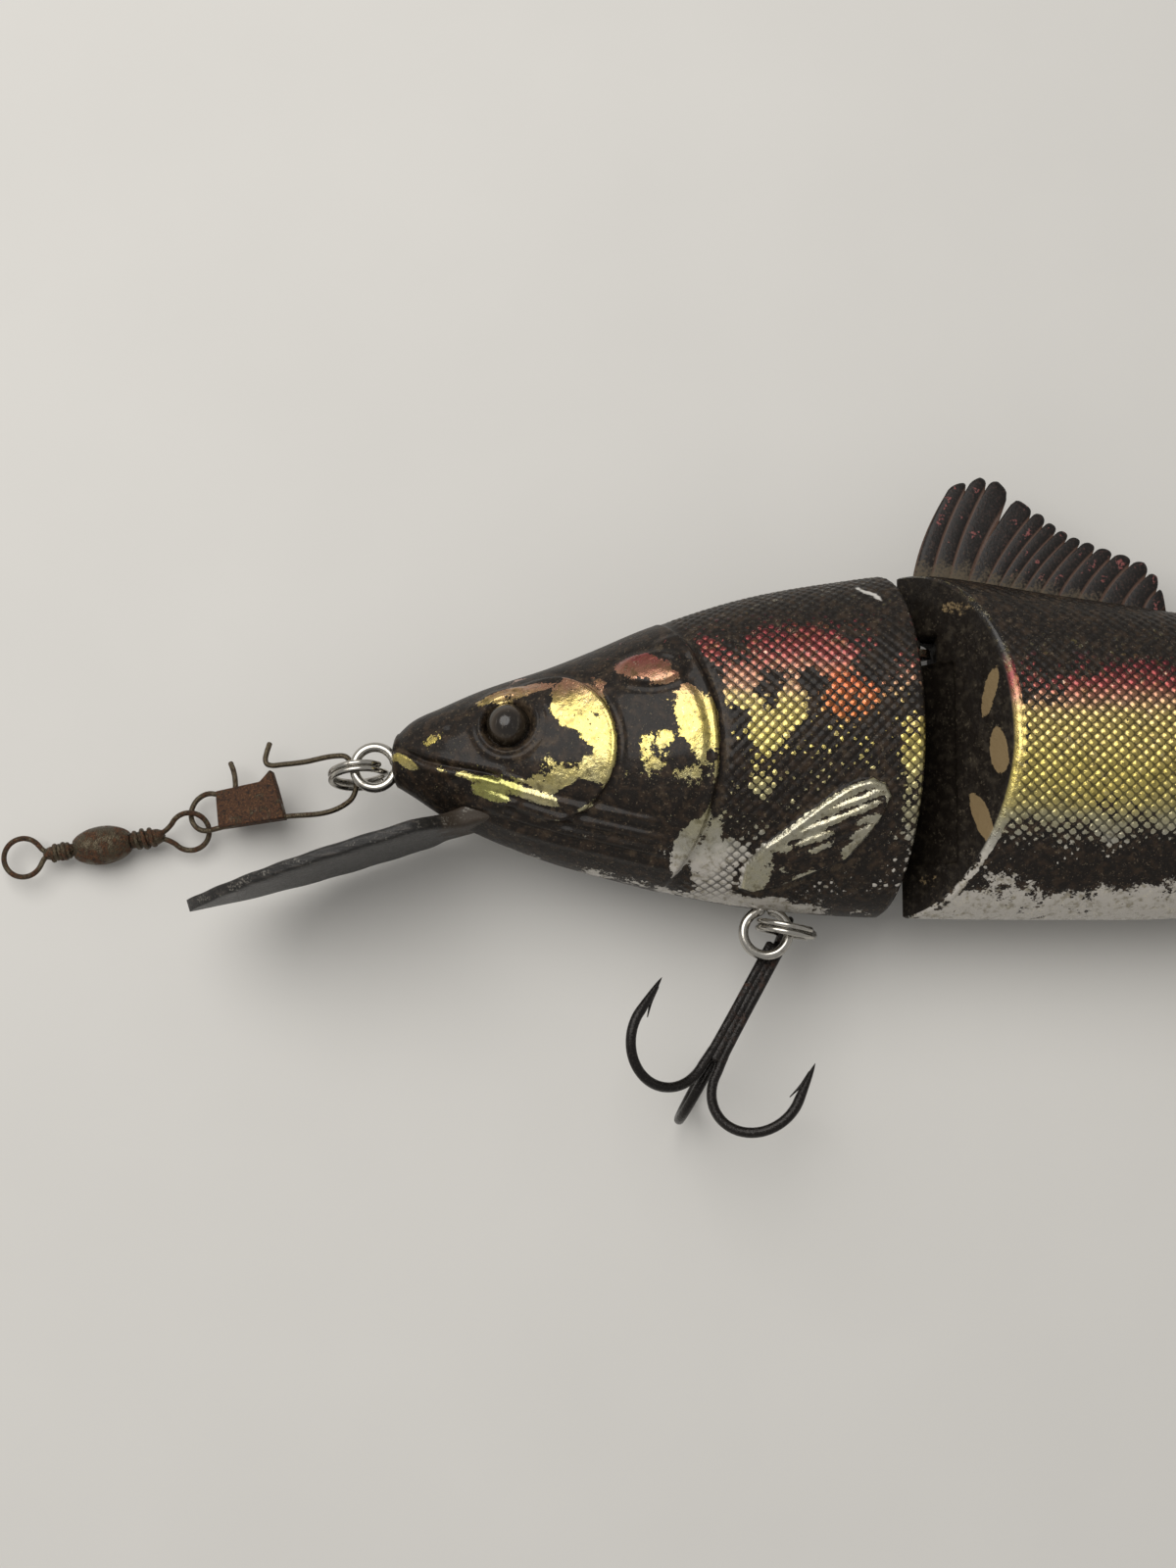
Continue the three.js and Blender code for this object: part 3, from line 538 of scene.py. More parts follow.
def foil_finish():
    """Embossed foil under clear coat, pink over gold over silver, with grime in the net's grooves."""
    colours = bpy.context.scene.lure_colours
    finish = Finish("worn_foil", Coat_Roughness=0.10, Specular_IOR_Level=0.16)
    bare, tone = finish.attribute("bare"), finish.attribute("tone")
    groove, rim = finish.attribute("groove"), finish.attribute("rim")
    net_weight, inside = finish.attribute("net"), finish.attribute("inside")
    net = net_cells(finish)
    large = finish.noise(7, seed=1, detail=2)
    ragged = finish.noise(3.0, seed=2, detail=8, roughness=0.68)
    middle = finish.noise(1.5, seed=3)
    fine = finish.noise(0.42, seed=4, detail=2)
    specks = finish.noise(0.22, seed=5, detail=1)

    # Rims clear the grime: on the rear section a lighter painted edge, on the head partly rubbed foil and partly a
    # painted highlight.
    cover = (0.60 - bare * 0.42 + (large - 0.5) * 0.35 + (ragged - 0.5) * 0.95 + (fine - 0.5) * 0.34
             - (net - 0.42) * net_weight * 0.44 + groove * 0.42 - rim * 0.24)
    grime = finish.step(cover, 0.46, 0.55)
    grime = grime.largest(finish.step(fine * 0.55 + ragged * 0.45, 0.68, 0.75) * 0.9)

    tone = tone + (middle - 0.5) * 0.06 + (large - 0.5) * 0.05
    stops = (
        (0.13, tuple(colours.belly)),
        (0.20, tuple(colours.silver)),
        (0.34, (0.46, 0.42, 0.24)),
        (0.44, tuple(colours.gold)),
        (0.56, (0.50, 0.37, 0.14)),
        (0.63, (0.40, 0.22, 0.13)),
        (0.72, tuple(colours.pink)),
        (0.80, (0.10, 0.018, 0.022)),
        (0.90, tuple(colours.back)),
    )
    foil = finish.ramp(tone, stops)
    foil = finish.mix(foil, (0.40, 0.085, 0.025), finish.attribute("ember") * 0.9)
    foil = finish.mix(foil, (0.30, 0.31, 0.05), finish.attribute("lime") * 0.65)
    # Olive-dark patches on the foil: partly tarnish, partly a painted dim reflection that breaks up the gold's shine.
    tarnish_and_dim_reflection = finish.step(finish.noise(1.1, seed=6, detail=4), 0.45, 0.85)
    foil = finish.mix(foil, (0.11, 0.085, 0.025), tarnish_and_dim_reflection * 0.6)
    foil = finish.mix(foil, (0.80, 0.72, 0.50), finish.step(middle * 0.5 + specks * 0.5, 0.62, 0.8) * 0.35)
    lines = finish.step(0.46 - net, 0.0, 0.34) * net_weight
    foil = finish.mix(foil, tuple(colours.grime), lines * 0.72)

    dirt = grime_colour(finish, groove, middle, fine, specks)
    base = finish.mix(foil, dirt, grime)
    base = finish.mix(base, (0.52, 0.50, 0.47), finish.attribute("chip"))
    base = finish.mix(base, plastic_colour(finish, middle, fine, ragged), inside)

    metal = finish.step(tone, 0.14, 0.24) * (1 - finish.step(tone, 0.80, 0.90))
    metal = metal * (1 - grime) * (1 - inside) * 0.9
    rough = 0.27 + (fine - 0.5) * 0.16 + grime * 0.22 + inside * 0.2
    coat = (1 - inside) * (0.38 - grime * 0.24)

    creases = finish.noise(2.6, seed=11, detail=2)
    normal = finish.bump(net * net_weight + creases * 1.4, 0.12, 0.85)
    normal = finish.bump(grime * 0.5 + fine * 0.5 + specks * 0.25, 0.09, 0.75, normal)
    return finish.wear(Base_Color=base, Metallic=metal, Roughness=rough, Coat_Weight=coat, Normal=normal)


def net_cells(finish):
    """The embossed net: 1 in the middle of a cell and 0 along its grooves."""
    turn = math.pi / (bpy.context.scene.lure_body.net_pitch / MM * math.sqrt(2))
    along, around = finish.attribute("along"), finish.attribute("around")
    return ((along + around) * turn).cosine().absolute() * ((along - around) * turn).cosine().absolute()


def grime_colour(finish, groove, middle, fine, specks):
    colours = bpy.context.scene.lure_colours
    dirt = finish.mix(tuple(colours.grime), (0.032, 0.020, 0.012), finish.step(middle, 0.4, 0.85))
    caked = finish.step(finish.noise(2.0, seed=9, detail=5) * 0.8 + groove * 0.18 + fine * 0.2, 0.62, 0.86)
    dirt = finish.mix(dirt, (0.062, 0.043, 0.026), caked * 0.75)
    dusty = finish.step(fine * 0.5 + specks * 0.5, 0.64, 0.80)
    return finish.mix(dirt, tuple(colours.dust), dusty * 0.5)


def plastic_colour(finish, middle, fine, ragged):
    """Bare dark plastic in the joint, with dust and worn ochre paint near its edge."""
    plastic = finish.mix((0.010, 0.0075, 0.0055), (0.030, 0.024, 0.017), finish.step(middle, 0.4, 0.9))
    plastic = finish.mix(plastic, (0.085, 0.068, 0.045), finish.step(fine * 0.6 + ragged * 0.4, 0.60, 0.78) * 0.6)
    worn = finish.step(finish.attribute("ochre") + (ragged - 0.5) * 0.8 + (fine - 0.5) * 0.3, 0.55, 0.72)
    return finish.mix(plastic, (0.24, 0.17, 0.085), worn * 0.8)


def glass_eye_finish():
    """Dark, scratched glassy dome over a faint brown ring."""
    finish = Finish("glass_eye", Specular_IOR_Level=0.3, Coat_Weight=0.35, Coat_Roughness=0.12)
    reach = finish.attribute("reach")
    colour = finish.ramp(reach, ((0.0, (0.010, 0.008, 0.0065)), (0.5, (0.016, 0.012, 0.009)),
                                 (0.72, (0.040, 0.029, 0.019)), (0.88, (0.016, 0.012, 0.008))))
    scratches = finish.noise(0.5, seed=5, detail=4, vector=finish.stretched(1, 0.35, 1, 25))
    film = finish.step(scratches, 0.55, 0.85)
    colour = finish.mix(colour, (0.085, 0.070, 0.050), film * 0.55)
    rough = 0.16 + film * 0.35
    normal = finish.bump(film, 0.03, 0.6)
    return finish.wear(Base_Color=colour, Roughness=rough, Normal=normal)


def lip_finish():
    """Black plastic with scratches, rubbed edges and dust."""
    colours = bpy.context.scene.lure_colours
    finish = Finish("lip_plastic", Specular_IOR_Level=0.35)
    edge = finish.attribute("edge")
    streaks = finish.noise(0.5, seed=3, detail=4, vector=finish.stretched(0.14, 1, 0.5, -17.2))
    patches = finish.noise(2.4, seed=7, detail=4)
    fine = finish.noise(0.3, seed=8)
    colour = finish.mix(tuple(colours.lip), (0.050, 0.043, 0.037), finish.step(streaks, 0.45, 0.85) * 0.8)
    soil = finish.step(finish.attribute("soil") + (patches - 0.5) * 0.9 + (fine - 0.5) * 0.3, 0.35, 0.85)
    colour = finish.mix(colour, (0.045, 0.032, 0.021), soil * 0.8)
    rubbed = finish.step(edge * 0.22 + patches * 0.45 + fine * 0.45, 0.74, 0.90)
    colour = finish.mix(colour, (0.20, 0.185, 0.16), rubbed * 0.75)
    rough = 0.30 + fine * 0.25 + soil * 0.15
    normal = finish.bump(streaks * 0.6 + fine * 0.6 + patches * 0.5, 0.12, 0.8)
    return finish.wear(Base_Color=colour, Roughness=rough, Normal=normal)


def fin_finish():
    """Thin black plastic with pink rubbed along the rays and beige dust at the root."""
    colours = bpy.context.scene.lure_colours
    finish = Finish("fin_plastic", Specular_IOR_Level=0.25)
    ray, reach = finish.attribute("ray"), finish.attribute("reach")
    crest = (ray * math.tau).cosine() * 0.5 + 0.5
    patches = finish.noise(2.6, seed=2, detail=3)
    fine = finish.noise(0.42, seed=3)
    bare = finish.step(crest * 0.16 + patches * 0.52 + fine * 0.34 + reach * 0.10, 0.74, 0.84)
    colour = finish.mix(tuple(colours.back), (0.036, 0.022, 0.018), finish.step(fine, 0.45, 0.9))
    colour = finish.mix(colour, (0.24, 0.075, 0.070), bare * 0.85)
    lines = finish.step(1 - crest, 0.90, 0.995)
    colour = finish.mix(colour, (0.11, 0.058, 0.038), lines * 0.6)
    dusty = finish.step((1 - reach) * 1.15 + (patches - 0.5) * 0.35 + (fine - 0.5) * 0.4, 0.72, 1.05)
    colour = finish.mix(colour, (0.115, 0.092, 0.062), dusty * 0.8)
    rough = 0.40 + dusty * 0.4 + (fine - 0.5) * 0.15
    normal = finish.bump(fine * 0.6 + bare * 0.4, 0.07, 0.8)
    return finish.wear(Base_Color=colour, Roughness=rough, Normal=normal)


def steel_finish():
    """Stainless wire whose dark patches are partly a little grime and partly painted shade and dark reflection."""
    colours = bpy.context.scene.lure_colours
    finish = Finish("bright_steel")
    blotches = finish.noise(1.1, seed=4)
    fine = finish.noise(0.2, seed=5)
    # Dark patches: partly grime, partly painted shade and dark reflection on the wire.
    grime_and_shade = finish.step(blotches * 0.7 + fine * 0.3, 0.50, 0.85)
    colour = finish.mix(tuple(colours.steel), (0.105, 0.085, 0.060), grime_and_shade * 0.8)
    rough = 0.17 + grime_and_shade * 0.3 + (fine - 0.5) * 0.08
    return finish.wear(Base_Color=colour, Metallic=1 - grime_and_shade * 0.4, Roughness=rough)


def leader_finish(name, rust_level):
    """Tarnished metal, with rust from rust_level up: 0 is bare, 1 all rust."""
    colours = bpy.context.scene.lure_colours
    finish = Finish(name, Specular_IOR_Level=0.3)
    blotches = finish.noise(1.5, seed=6, detail=4)
    fine = finish.noise(0.22, seed=7)
    rust = finish.step(blotches * 0.65 + fine * 0.35, 1.0 - rust_level, 1.14 - rust_level)
    colour = finish.mix(tuple(colours.brass), (0.24, 0.20, 0.14), finish.step(fine, 0.5, 0.9) * 0.5)
    flakes = finish.mix(tuple(colours.rust), (0.15, 0.070, 0.030), finish.step(fine, 0.52, 0.80))
    flakes = finish.mix(flakes, (0.012, 0.008, 0.006), finish.step(finish.noise(0.45, seed=8), 0.48, 0.8) * 0.85)
    pale = finish.step(finish.noise(2.6, seed=10, detail=4) * 0.8 + fine * 0.2, 0.66, 0.84)
    flakes = finish.mix(flakes, (0.16, 0.125, 0.085), pale * 0.6)
    colour = finish.mix(colour, flakes, rust)
    rough = 0.30 + rust * 0.42 + (fine - 0.5) * 0.15
    normal = finish.bump(rust * 0.5 + fine * 0.9, 0.12, 0.9)
    return finish.wear(Base_Color=colour, Metallic=0.9 - rust * 0.8, Roughness=rough, Normal=normal)


def hook_finish():
    """Black hook steel with brown rust, thickest on the shank."""
    colours = bpy.context.scene.lure_colours
    finish = Finish("hook_iron", Specular_IOR_Level=0.4)
    shank = finish.attribute("shank")
    blotches = finish.noise(2.0, seed=3, detail=4)
    fine = finish.noise(0.3, seed=4)
    rust = finish.step(blotches * 0.55 + fine * 0.35 + shank * 0.16, 0.64, 0.84)
    colour = finish.mix(tuple(colours.iron), (0.040, 0.034, 0.028), finish.step(fine, 0.5, 0.9) * 0.6)
    flakes = finish.mix((0.075, 0.028, 0.012), (0.022, 0.012, 0.008), finish.step(fine, 0.35, 0.75))
    colour = finish.mix(colour, flakes, rust * 0.85)
    rough = 0.28 + rust * 0.35 + (fine - 0.5) * 0.2
    normal = finish.bump(rust * 0.5 + fine * 0.7 + blotches * 0.5, 0.10, 0.8)
    return finish.wear(Base_Color=colour, Metallic=0.45 - rust * 0.4, Roughness=rough, Normal=normal)


def floor_finish():
    finish = Finish("pale_table", Specular_IOR_Level=0.25, Roughness=0.6)
    colours = bpy.context.scene.lure_colours
    cloudy = finish.noise(45, seed=2, detail=4)
    colour = finish.mix(tuple(colours.floor), tuple(0.96 * c for c in colours.floor), cloudy)
    return finish.wear(Base_Color=colour)


def material(maker, *arguments):
    """One material of each kind, made when it is first asked for."""
    key = maker.__name__ + "".join(f".{a}" for a in arguments)
    if key not in MATERIALS:
        MATERIALS[key] = maker(*arguments)
    return MATERIALS[key]


MATERIALS = {}


def skin_section(x, turn):
    """Points of the body's skin at x and at an angle from the back, with the outward direction."""
    top, bottom = curve(STATIONS, BACK, x), curve(STATIONS, BELLY, x)
    half = curve(STATIONS, HALF_THICKNESS, x)
    middle, tall = (top + bottom) / 2, (top - bottom) / 2
    up, out = np.cos(turn), np.sin(turn)
    fullness = np.where(up > 0, BACK_FULLNESS, BELLY_FULLNESS)
    up_part = np.sign(up) * np.abs(up) ** (2 / fullness)
    out_part = np.sign(out) * np.abs(out) ** (2 / fullness)
    points = np.stack([x, middle + tall * up_part, MID_PLANE + half * out_part], axis=-1)
    lean_y = np.sign(up) * np.abs(up_part) ** (fullness - 1) / tall
    lean_z = np.sign(out) * np.abs(out_part) ** (fullness - 1) / half
    outward = np.stack([np.zeros_like(x), lean_y, lean_z], axis=-1)
    outward /= np.linalg.norm(outward, axis=-1)[..., None] + 1e-9
    return points, outward


def row_turns(left_rows, right_rows):
    """Angles of the mesh rows, evenly spaced along the skin and finer on the left flank."""
    dense = np.linspace(0, math.pi, 2001)
    points, outward = skin_section(np.full_like(dense, 82.0), dense)
    lengths = np.concatenate([[0], np.cumsum(np.linalg.norm(np.diff(points, axis=0), axis=1))])
    left = np.interp(np.linspace(0, lengths[-1], left_rows + 1), lengths, dense)
    right = math.tau - np.interp(np.linspace(lengths[-1], 0, right_rows + 1), lengths, dense)
    return np.concatenate([left, right[1:]])


def rim_station(tip_x, slope, turns):
    """Where the V of the joint meets the skin, for each row."""
    x = np.full_like(turns, tip_x + slope * 12)
    for _ in range(12):
        points, outward = skin_section(x, turns)
        x = tip_x + slope * np.abs(points[:, 2] - MID_PLANE)
    return x


def lengths_round(points, turns):
    """Distance round the skin from the middle of the nearer flank, less below than above."""
    steps = np.linalg.norm(np.diff(points, axis=1), axis=2)
    lengths = np.concatenate([np.zeros((len(points), 1)), np.cumsum(steps, axis=1)], axis=1)
    left = np.argmin(np.abs(turns - math.pi / 2))
    right = np.argmin(np.abs(turns - 1.5 * math.pi))
    on_left = turns <= math.pi
    return np.where(on_left, lengths[:, left:left + 1] - lengths, lengths - lengths[:, right:right + 1])


def oval_distance(x, y, middle_x, middle_y, reach_x, reach_y):
    """Distance inside an oval's edge, in millimetres; negative outside."""
    share = np.hypot((x - middle_x) / reach_x, (y - middle_y) / reach_y)
    return (1 - share) * math.sqrt(reach_x * reach_y)


def outline_distance(x, y, outline):
    """Distance inside a closed outline, in millimetres; negative outside."""
    corners = np.asarray(outline, float)
    nearest = np.full(x.shape, 1e9)
    inside = np.zeros(x.shape, bool)
    for (x0, y0), (x1, y1) in zip(corners, np.roll(corners, -1, axis=0)):
        part = np.clip(((x - x0) * (x1 - x0) + (y - y0) * (y1 - y0)) / ((x1 - x0) ** 2 + (y1 - y0) ** 2), 0, 1)
        nearest = np.minimum(nearest, np.hypot(x - x0 - part * (x1 - x0), y - y0 - part * (y1 - y0)))
        crosses = (y0 > y) != (y1 > y)
        with np.errstate(divide="ignore", invalid="ignore"):
            inside ^= crosses & (x < (x1 - x0) * (y - y0) / (y1 - y0) + x0)
    return np.where(inside, nearest, -nearest)


def path_distance(x, y, path):
    """Distance from an open path of (x, y) points."""
    nearest = np.full(x.shape, 1e9)
    for (x0, y0), (x1, y1) in zip(path[:-1], path[1:]):
        part = np.clip(((x - x0) * (x1 - x0) + (y - y0) * (y1 - y0)) / ((x1 - x0) ** 2 + (y1 - y0) ** 2), 0, 1)
        nearest = np.minimum(nearest, np.hypot(x - x0 - part * (x1 - x0), y - y0 - part * (y1 - y0)))
    return nearest


def patch_field(patches, x, y):
    """Sum of soft-edged patches at each point."""
    field = np.zeros_like(x)
    for middle_x, middle_y, reach_x, reach_y, lean, strength in patches.values():
        turn = math.radians(lean)
        dx, dy = x - middle_x, y - middle_y
        along = (dx * math.cos(turn) + dy * math.sin(turn)) / reach_x
        across = (dy * math.cos(turn) - dx * math.sin(turn)) / reach_y
        field += strength * smoothstep(1.35, 0.65, np.hypot(along, across))
    return field


def head_relief(x, y):
    """Height of the carved detail on the head, and where it is a groove or a rim; the rims' lighter line is partly
    rubbed foil and partly a painted highlight.
    """
    height = np.zeros_like(x)
    groove = np.zeros_like(x)
    rim = np.zeros_like(x)

    def raised(inside, raise_by, edge, shade=1.0):
        nonlocal height, groove, rim
        height = height + raise_by * smoothstep(0, edge, inside) - 0.22 * shade * ridge(inside + 0.5, 0.6)
        height = height + 0.16 * shade * ridge(inside - 0.9, 0.4)
        groove = np.maximum(groove, shade * ridge(inside + 0.45, 0.7))
        # Rim just inside a plate's edge: partly rubbed foil, partly a painted highlight line.
        rim = np.maximum(rim, shade * ridge(inside - 0.75, 0.35))

    gill = GILL_RADIUS - np.hypot(x - GILL_CENTRE[0], y - GILL_CENTRE[1])
    gill_side = smoothstep(24, 17, np.abs(y - GILL_CENTRE[1]))
    raised(gill, 1.1 * smoothstep(31, 49, x) * gill_side, 1.1, smoothstep(38, 46, x) * gill_side)
    plate = oval_distance(x, y, 41.0, 0.5, 8.6, 12.5)
    height = height + 0.35 * smoothstep(0, 1.6, plate) * smoothstep(33, 38, x)
    cheek = oval_distance(x, y, *CHEEK)
    raised(cheek, 0.75 * smoothstep(15, 29, x), 0.9, smoothstep(22, 29, x))
    temple = oval_distance(x, y, *TEMPLE)
    raised(temple, 0.75, 1.6, 0.5)
    upper_gill = oval_distance(x, y, 44.5, 15.2, 4.2, 2.4)
    height = height + 0.3 * smoothstep(0, 1.2, upper_gill)

    mouth = path_distance(x, y, ((-2, 1.9), (0.5, 1.6), (3.5, 0), (5.9, -1.3), (9.9, -2.4), (12.9, -3), (17, -4.1)))
    height = height - 0.55 * ridge(mouth, 0.45) + 0.22 * ridge(mouth - 1.0, 0.6)
    groove = np.maximum(groove, ridge(mouth, 0.5))
    jaw = oval_distance(x, y, 15.6, -6.2, 7.6, 3.0)
    height = height + 0.3 * smoothstep(0, 1.4, jaw)
    for offset in (2.6, 4.4, 6.4, 8.6):
        fold = y - curve(STATIONS, BELLY, x) - offset - 0.05 * (x - 20)
        where = smoothstep(12, 20, x) * smoothstep(48, 38, x)
        height = height + 0.26 * where * (ridge(fold, 0.5) - ridge(fold - 0.9, 0.45))
        groove = np.maximum(groove, 0.7 * where * ridge(fold - 0.9, 0.4))

    eye = np.hypot(x - EYE[0], y - EYE[1])
    height = height + 0.45 * ridge(eye - 4.5, 0.45) + 0.25 * ridge(eye - 5.5, 0.5)
    height = height - 0.35 * ridge(eye - 3.95, 0.3) - 2.4 * smoothstep(3.85, 3.45, eye)
    groove = np.maximum(groove, ridge(eye - 3.95, 0.55))
    groove = np.maximum(groove, 0.9 * smoothstep(7.2, 4.6, np.hypot(x - 19.5, (y - 2.6) * 1.15)))
    brow = path_distance(x, y, ((13.0, 7.0), (16.0, 8.9), (19.5, 9.6), (23.0, 8.8), (25.4, 6.8)))
    height = height + 0.3 * ridge(brow, 0.9)
    nostril = np.hypot((x - 9.6) / 1.3, (y - 3.6) / 0.9)
    height = height - 0.35 * ridge(nostril, 0.8)
    return height, groove, rim


def pectoral_relief(x, y):
    """Height, groove, rim and cover of the breast fin."""
    inside = outline_distance(x, y, PECTORAL)
    cover = smoothstep(0, 0.5, inside)
    lean = math.radians(PECTORAL_RAY_LEAN)
    across = (y - PECTORAL_ROOT[1]) * math.cos(lean) - (x - PECTORAL_ROOT[0]) * math.sin(lean)
    rays = np.cos(across / PECTORAL_RAY_PITCH * math.tau)
    ray_cover = smoothstep(0.9, 1.7, inside) * smoothstep(59.5, 62.5, x + 0.4 * y + 6)
    height = 0.75 * smoothstep(0, 0.8, inside) + 0.30 * smoothstep(0, 4.5, inside)
    height = height + 0.24 * ridge(inside - 0.7, 0.45) + 0.15 * rays * ray_cover
    groove = np.maximum(ridge(inside + 0.45, 0.6), 0.85 * smoothstep(0.15, 0.95, -rays) * ray_cover)
    rim = ridge(inside - 0.6, 0.5)
    return height, groove, rim, cover


def net_height(x, around):
    pitch = bpy.context.scene.lure_body.net_pitch / MM
    turn = math.tau / (pitch * math.sqrt(2))
    return (np.cos((x + around) * turn) + np.cos((x - around) * turn)) / 2


def lifted(points, outward, height):
    """Moves points out along the skin, and keeps them above the table."""
    moved = points + outward * height[..., None]
    moved[..., 2] = np.maximum(moved[..., 2], 0.0)
    return moved


def colour_height(y, x):
    """Place in the foil's bands of colour, 0 at the belly and 1 at the back."""
    head_bands = np.interp(y, (-24, -19, -15, -8, 6, 9, 14, 19, 22), (0.02, 0.10, 0.19, 0.34, 0.50, 0.62, 0.72, 0.80, 0.92))
    rear_bands = np.interp(y, (-24, -18, -14, -9, 4, 6.6, 9.4, 13, 15), (0.02, 0.10, 0.22, 0.40, 0.52, 0.62, 0.72, 0.82, 0.92))
    share = smoothstep(82, 92, x)
    return head_bands * (1 - share) + rear_bands * share


def head_skin():
    """The head's skin, from the nose over the flanks and round the rim into the V of the joint."""
    sizes = bpy.context.scene.lure_body
    cell = sizes.cell / MM
    turns = row_turns(224, 96)
    rim_x = rim_station(NOTCH_X, NOTCH_SLOPE, turns)
    columns = int((82 - NOSE_ROUND) / cell)
    share = np.linspace(0, 1, columns + 1)
    x = NOSE_ROUND + (rim_x[None, :] - NOSE_ROUND) * share[:, None]
    turn = np.broadcast_to(turns, x.shape)
    points, outward = skin_section(x, turn)
    around = lengths_round(points, turns)
    y = points[..., 1]

    facing = np.abs(outward[..., 2])
    height, groove, rim = head_relief(x, y)
    fin_height, fin_groove, fin_rim, fin = pectoral_relief(x, y)
    gill = np.hypot(x - GILL_CENTRE[0], y - GILL_CENTRE[1]) - GILL_RADIUS
    membrane = smoothstep(1.35, 0.9, np.hypot((x - 47.8) / 4.2, (y + 14.2) / 5.0))
    net = smoothstep(0.4, 1.6, gill) * (1 - fin) * (1 - membrane) * smoothstep(38, 46, x)
    net = net * smoothstep(-23.0, -20.5, y)
    edge = rim_x[None, :] - x
    height = height * smoothstep(0.05, 0.35, facing) + fin_height * smoothstep(0.1, 0.4, facing)
    height = height + net * net_height(x, around) * sizes.net_height / MM
    height = height - 0.5 * smoothstep(0.9, 0.0, edge) ** 2
    groove = np.maximum(groove * smoothstep(0.05, 0.3, facing), fin_groove)
    # The rim 0.3 mm inside the rear edge is a painted highlight: a thin light line of bare foil.
    rim = np.maximum(np.maximum(rim, fin_rim), ridge(edge - 0.3, 0.35))

    bare = patch_field(HEAD_PATCHES, x, y) - patch_field(DARK_SPOTS, x, y) - 0.35
    bare = bare * (1 - fin) + (patch_field(PECTORAL_PATCHES, x, y) - 0.25) * fin
    bare = bare * smoothstep(0.0, 0.25, facing) - 0.15
    tone = colour_height(y, x)
    tone = np.where(fin > 0.5, 0.25, tone)
    skin = lifted(points, outward, height)

    caps = np.array([0.0, 0.3, 0.55, 0.75, 0.9, 0.97])
    middle = skin[0].mean(axis=0)
    nose = middle + (skin[0] - middle) * caps[:, None, None]
    nose[..., 0] = NOSE_ROUND * (1 - np.sqrt(1 - caps ** 2))[:, None]

    notch = joint_face(skin[-1], NOTCH_X, NOTCH_SLOPE, 12)
    fields = {
        "along": x, "around": around, "bare": bare, "tone": tone, "groove": groove, "rim": rim, "net": net,
        "inside": np.zeros_like(x),
        "chip": patch_field(CHIPS, x, y) > 0.6,
        "ochre": np.zeros_like(x),
        "ember": smoothstep(1.5, 0.8, np.hypot((x - 70.8) / 4.6, (y - 7.6) / 3.8)),
        "lime": smoothstep(1.5, 0.8, np.hypot((x - 16.4) / 4, (y + 5.6) / 2.6)),
    }
    grown = {key: stretched_field(field, len(nose), len(notch)) for key, field in fields.items()}
    grown["inside"][len(nose) + len(skin):] = 1
    grown["net"][:len(nose)] = 0
    return np.concatenate([nose, skin, notch]), grown


def joint_face(rim, tip_x, slope, columns):
    """Rows from the skin's rim to the middle of a V-shaped face."""
    share = np.linspace(0, 1, columns + 1)[1:]
    face = rim[None] + np.zeros((columns, 1, 1))
    face[..., 2] = MID_PLANE + (rim[None, :, 2] - MID_PLANE) * (1 - share)[:, None]
    face[..., 0] = tip_x + slope * np.abs(face[..., 2] - MID_PLANE)
    return face


def stretched_field(field, before, after):
    return np.concatenate([field[:1].repeat(before, 0), field, field[-1:].repeat(after, 0)])


def rear_skin():
    """The rear section's skin, from the middle of its wedge over the painted edge to the tail."""
    sizes = bpy.context.scene.lure_body
    cell = sizes.cell / MM
    turns = row_turns(224, 96)
    rim_x = rim_station(WEDGE_X, WEDGE_SLOPE, turns)
    fine_columns = int((124 - 84) / cell)
    coarse_columns = 110
    fine = np.linspace(0, 1, fine_columns + 1)
    coarse = np.linspace(0, 1, coarse_columns + 1)[1:]
    x = np.concatenate([rim_x[None, :] + (124 - rim_x[None, :]) * fine[:, None],
                        124 + (REAR_END - 124) * coarse[:, None] + np.zeros((1, len(turns)))])
    turn = np.broadcast_to(turns, x.shape)
    points, outward = skin_section(x, turn)
    around = lengths_round(points, turns)
    y = points[..., 1]
    facing = np.abs(outward[..., 2])
    edge = x - rim_x[None, :]
    rim_round = sizes.rim_round / MM
    net = smoothstep(0.7, 1.6, edge) * smoothstep(0.02, 0.12, facing) * smoothstep(-21, -16.5, y)
    height = net * net_height(x, around) * sizes.net_height / MM
    bend = np.clip(1 - edge / rim_round, 0, 1)
    height = height - rim_round * 0.4 * (1 - np.sqrt(1 - bend ** 2 * 0.98))

    bare = np.interp(y, *REAR_BARE) - patch_field(REAR_DARK_SPOTS, x, y)
    on_rim = smoothstep(1.3, 0.9, edge)
    bare = bare * (1 - on_rim) + np.interp(y, *RIM_BARE) * on_rim
    fields = {
        "along": x, "around": around, "bare": bare, "tone": colour_height(y, x),
        "groove": ridge(edge - 1.35, 0.3) * 0.5, "rim": ridge(edge - 0.7, 0.5), "net": net,
        "inside": np.zeros_like(x), "ember": np.zeros_like(x), "lime": np.zeros_like(x),
        "chip": np.zeros_like(x), "ochre": np.zeros_like(x),
    }
    skin = lifted(points, outward, height)

    face = wedge_face(skin[0])[::-1]
    caps = np.array([0.96, 0.85, 0.6, 0.3, 0.0])
    middle = skin[-1].mean(axis=0)
    tail = middle + (skin[-1] - middle) * caps[:, None, None]
    grown = {key: stretched_field(field, len(face), len(tail)) for key, field in fields.items()}
    grown["inside"][:len(face)] = 1
    grown["net"][:len(face)] = 0
    grown["ochre"][:len(face)] = patch_field(OCHRE_PATCHES, face[..., 0], face[..., 1])
    return np.concatenate([face, skin, tail]), grown


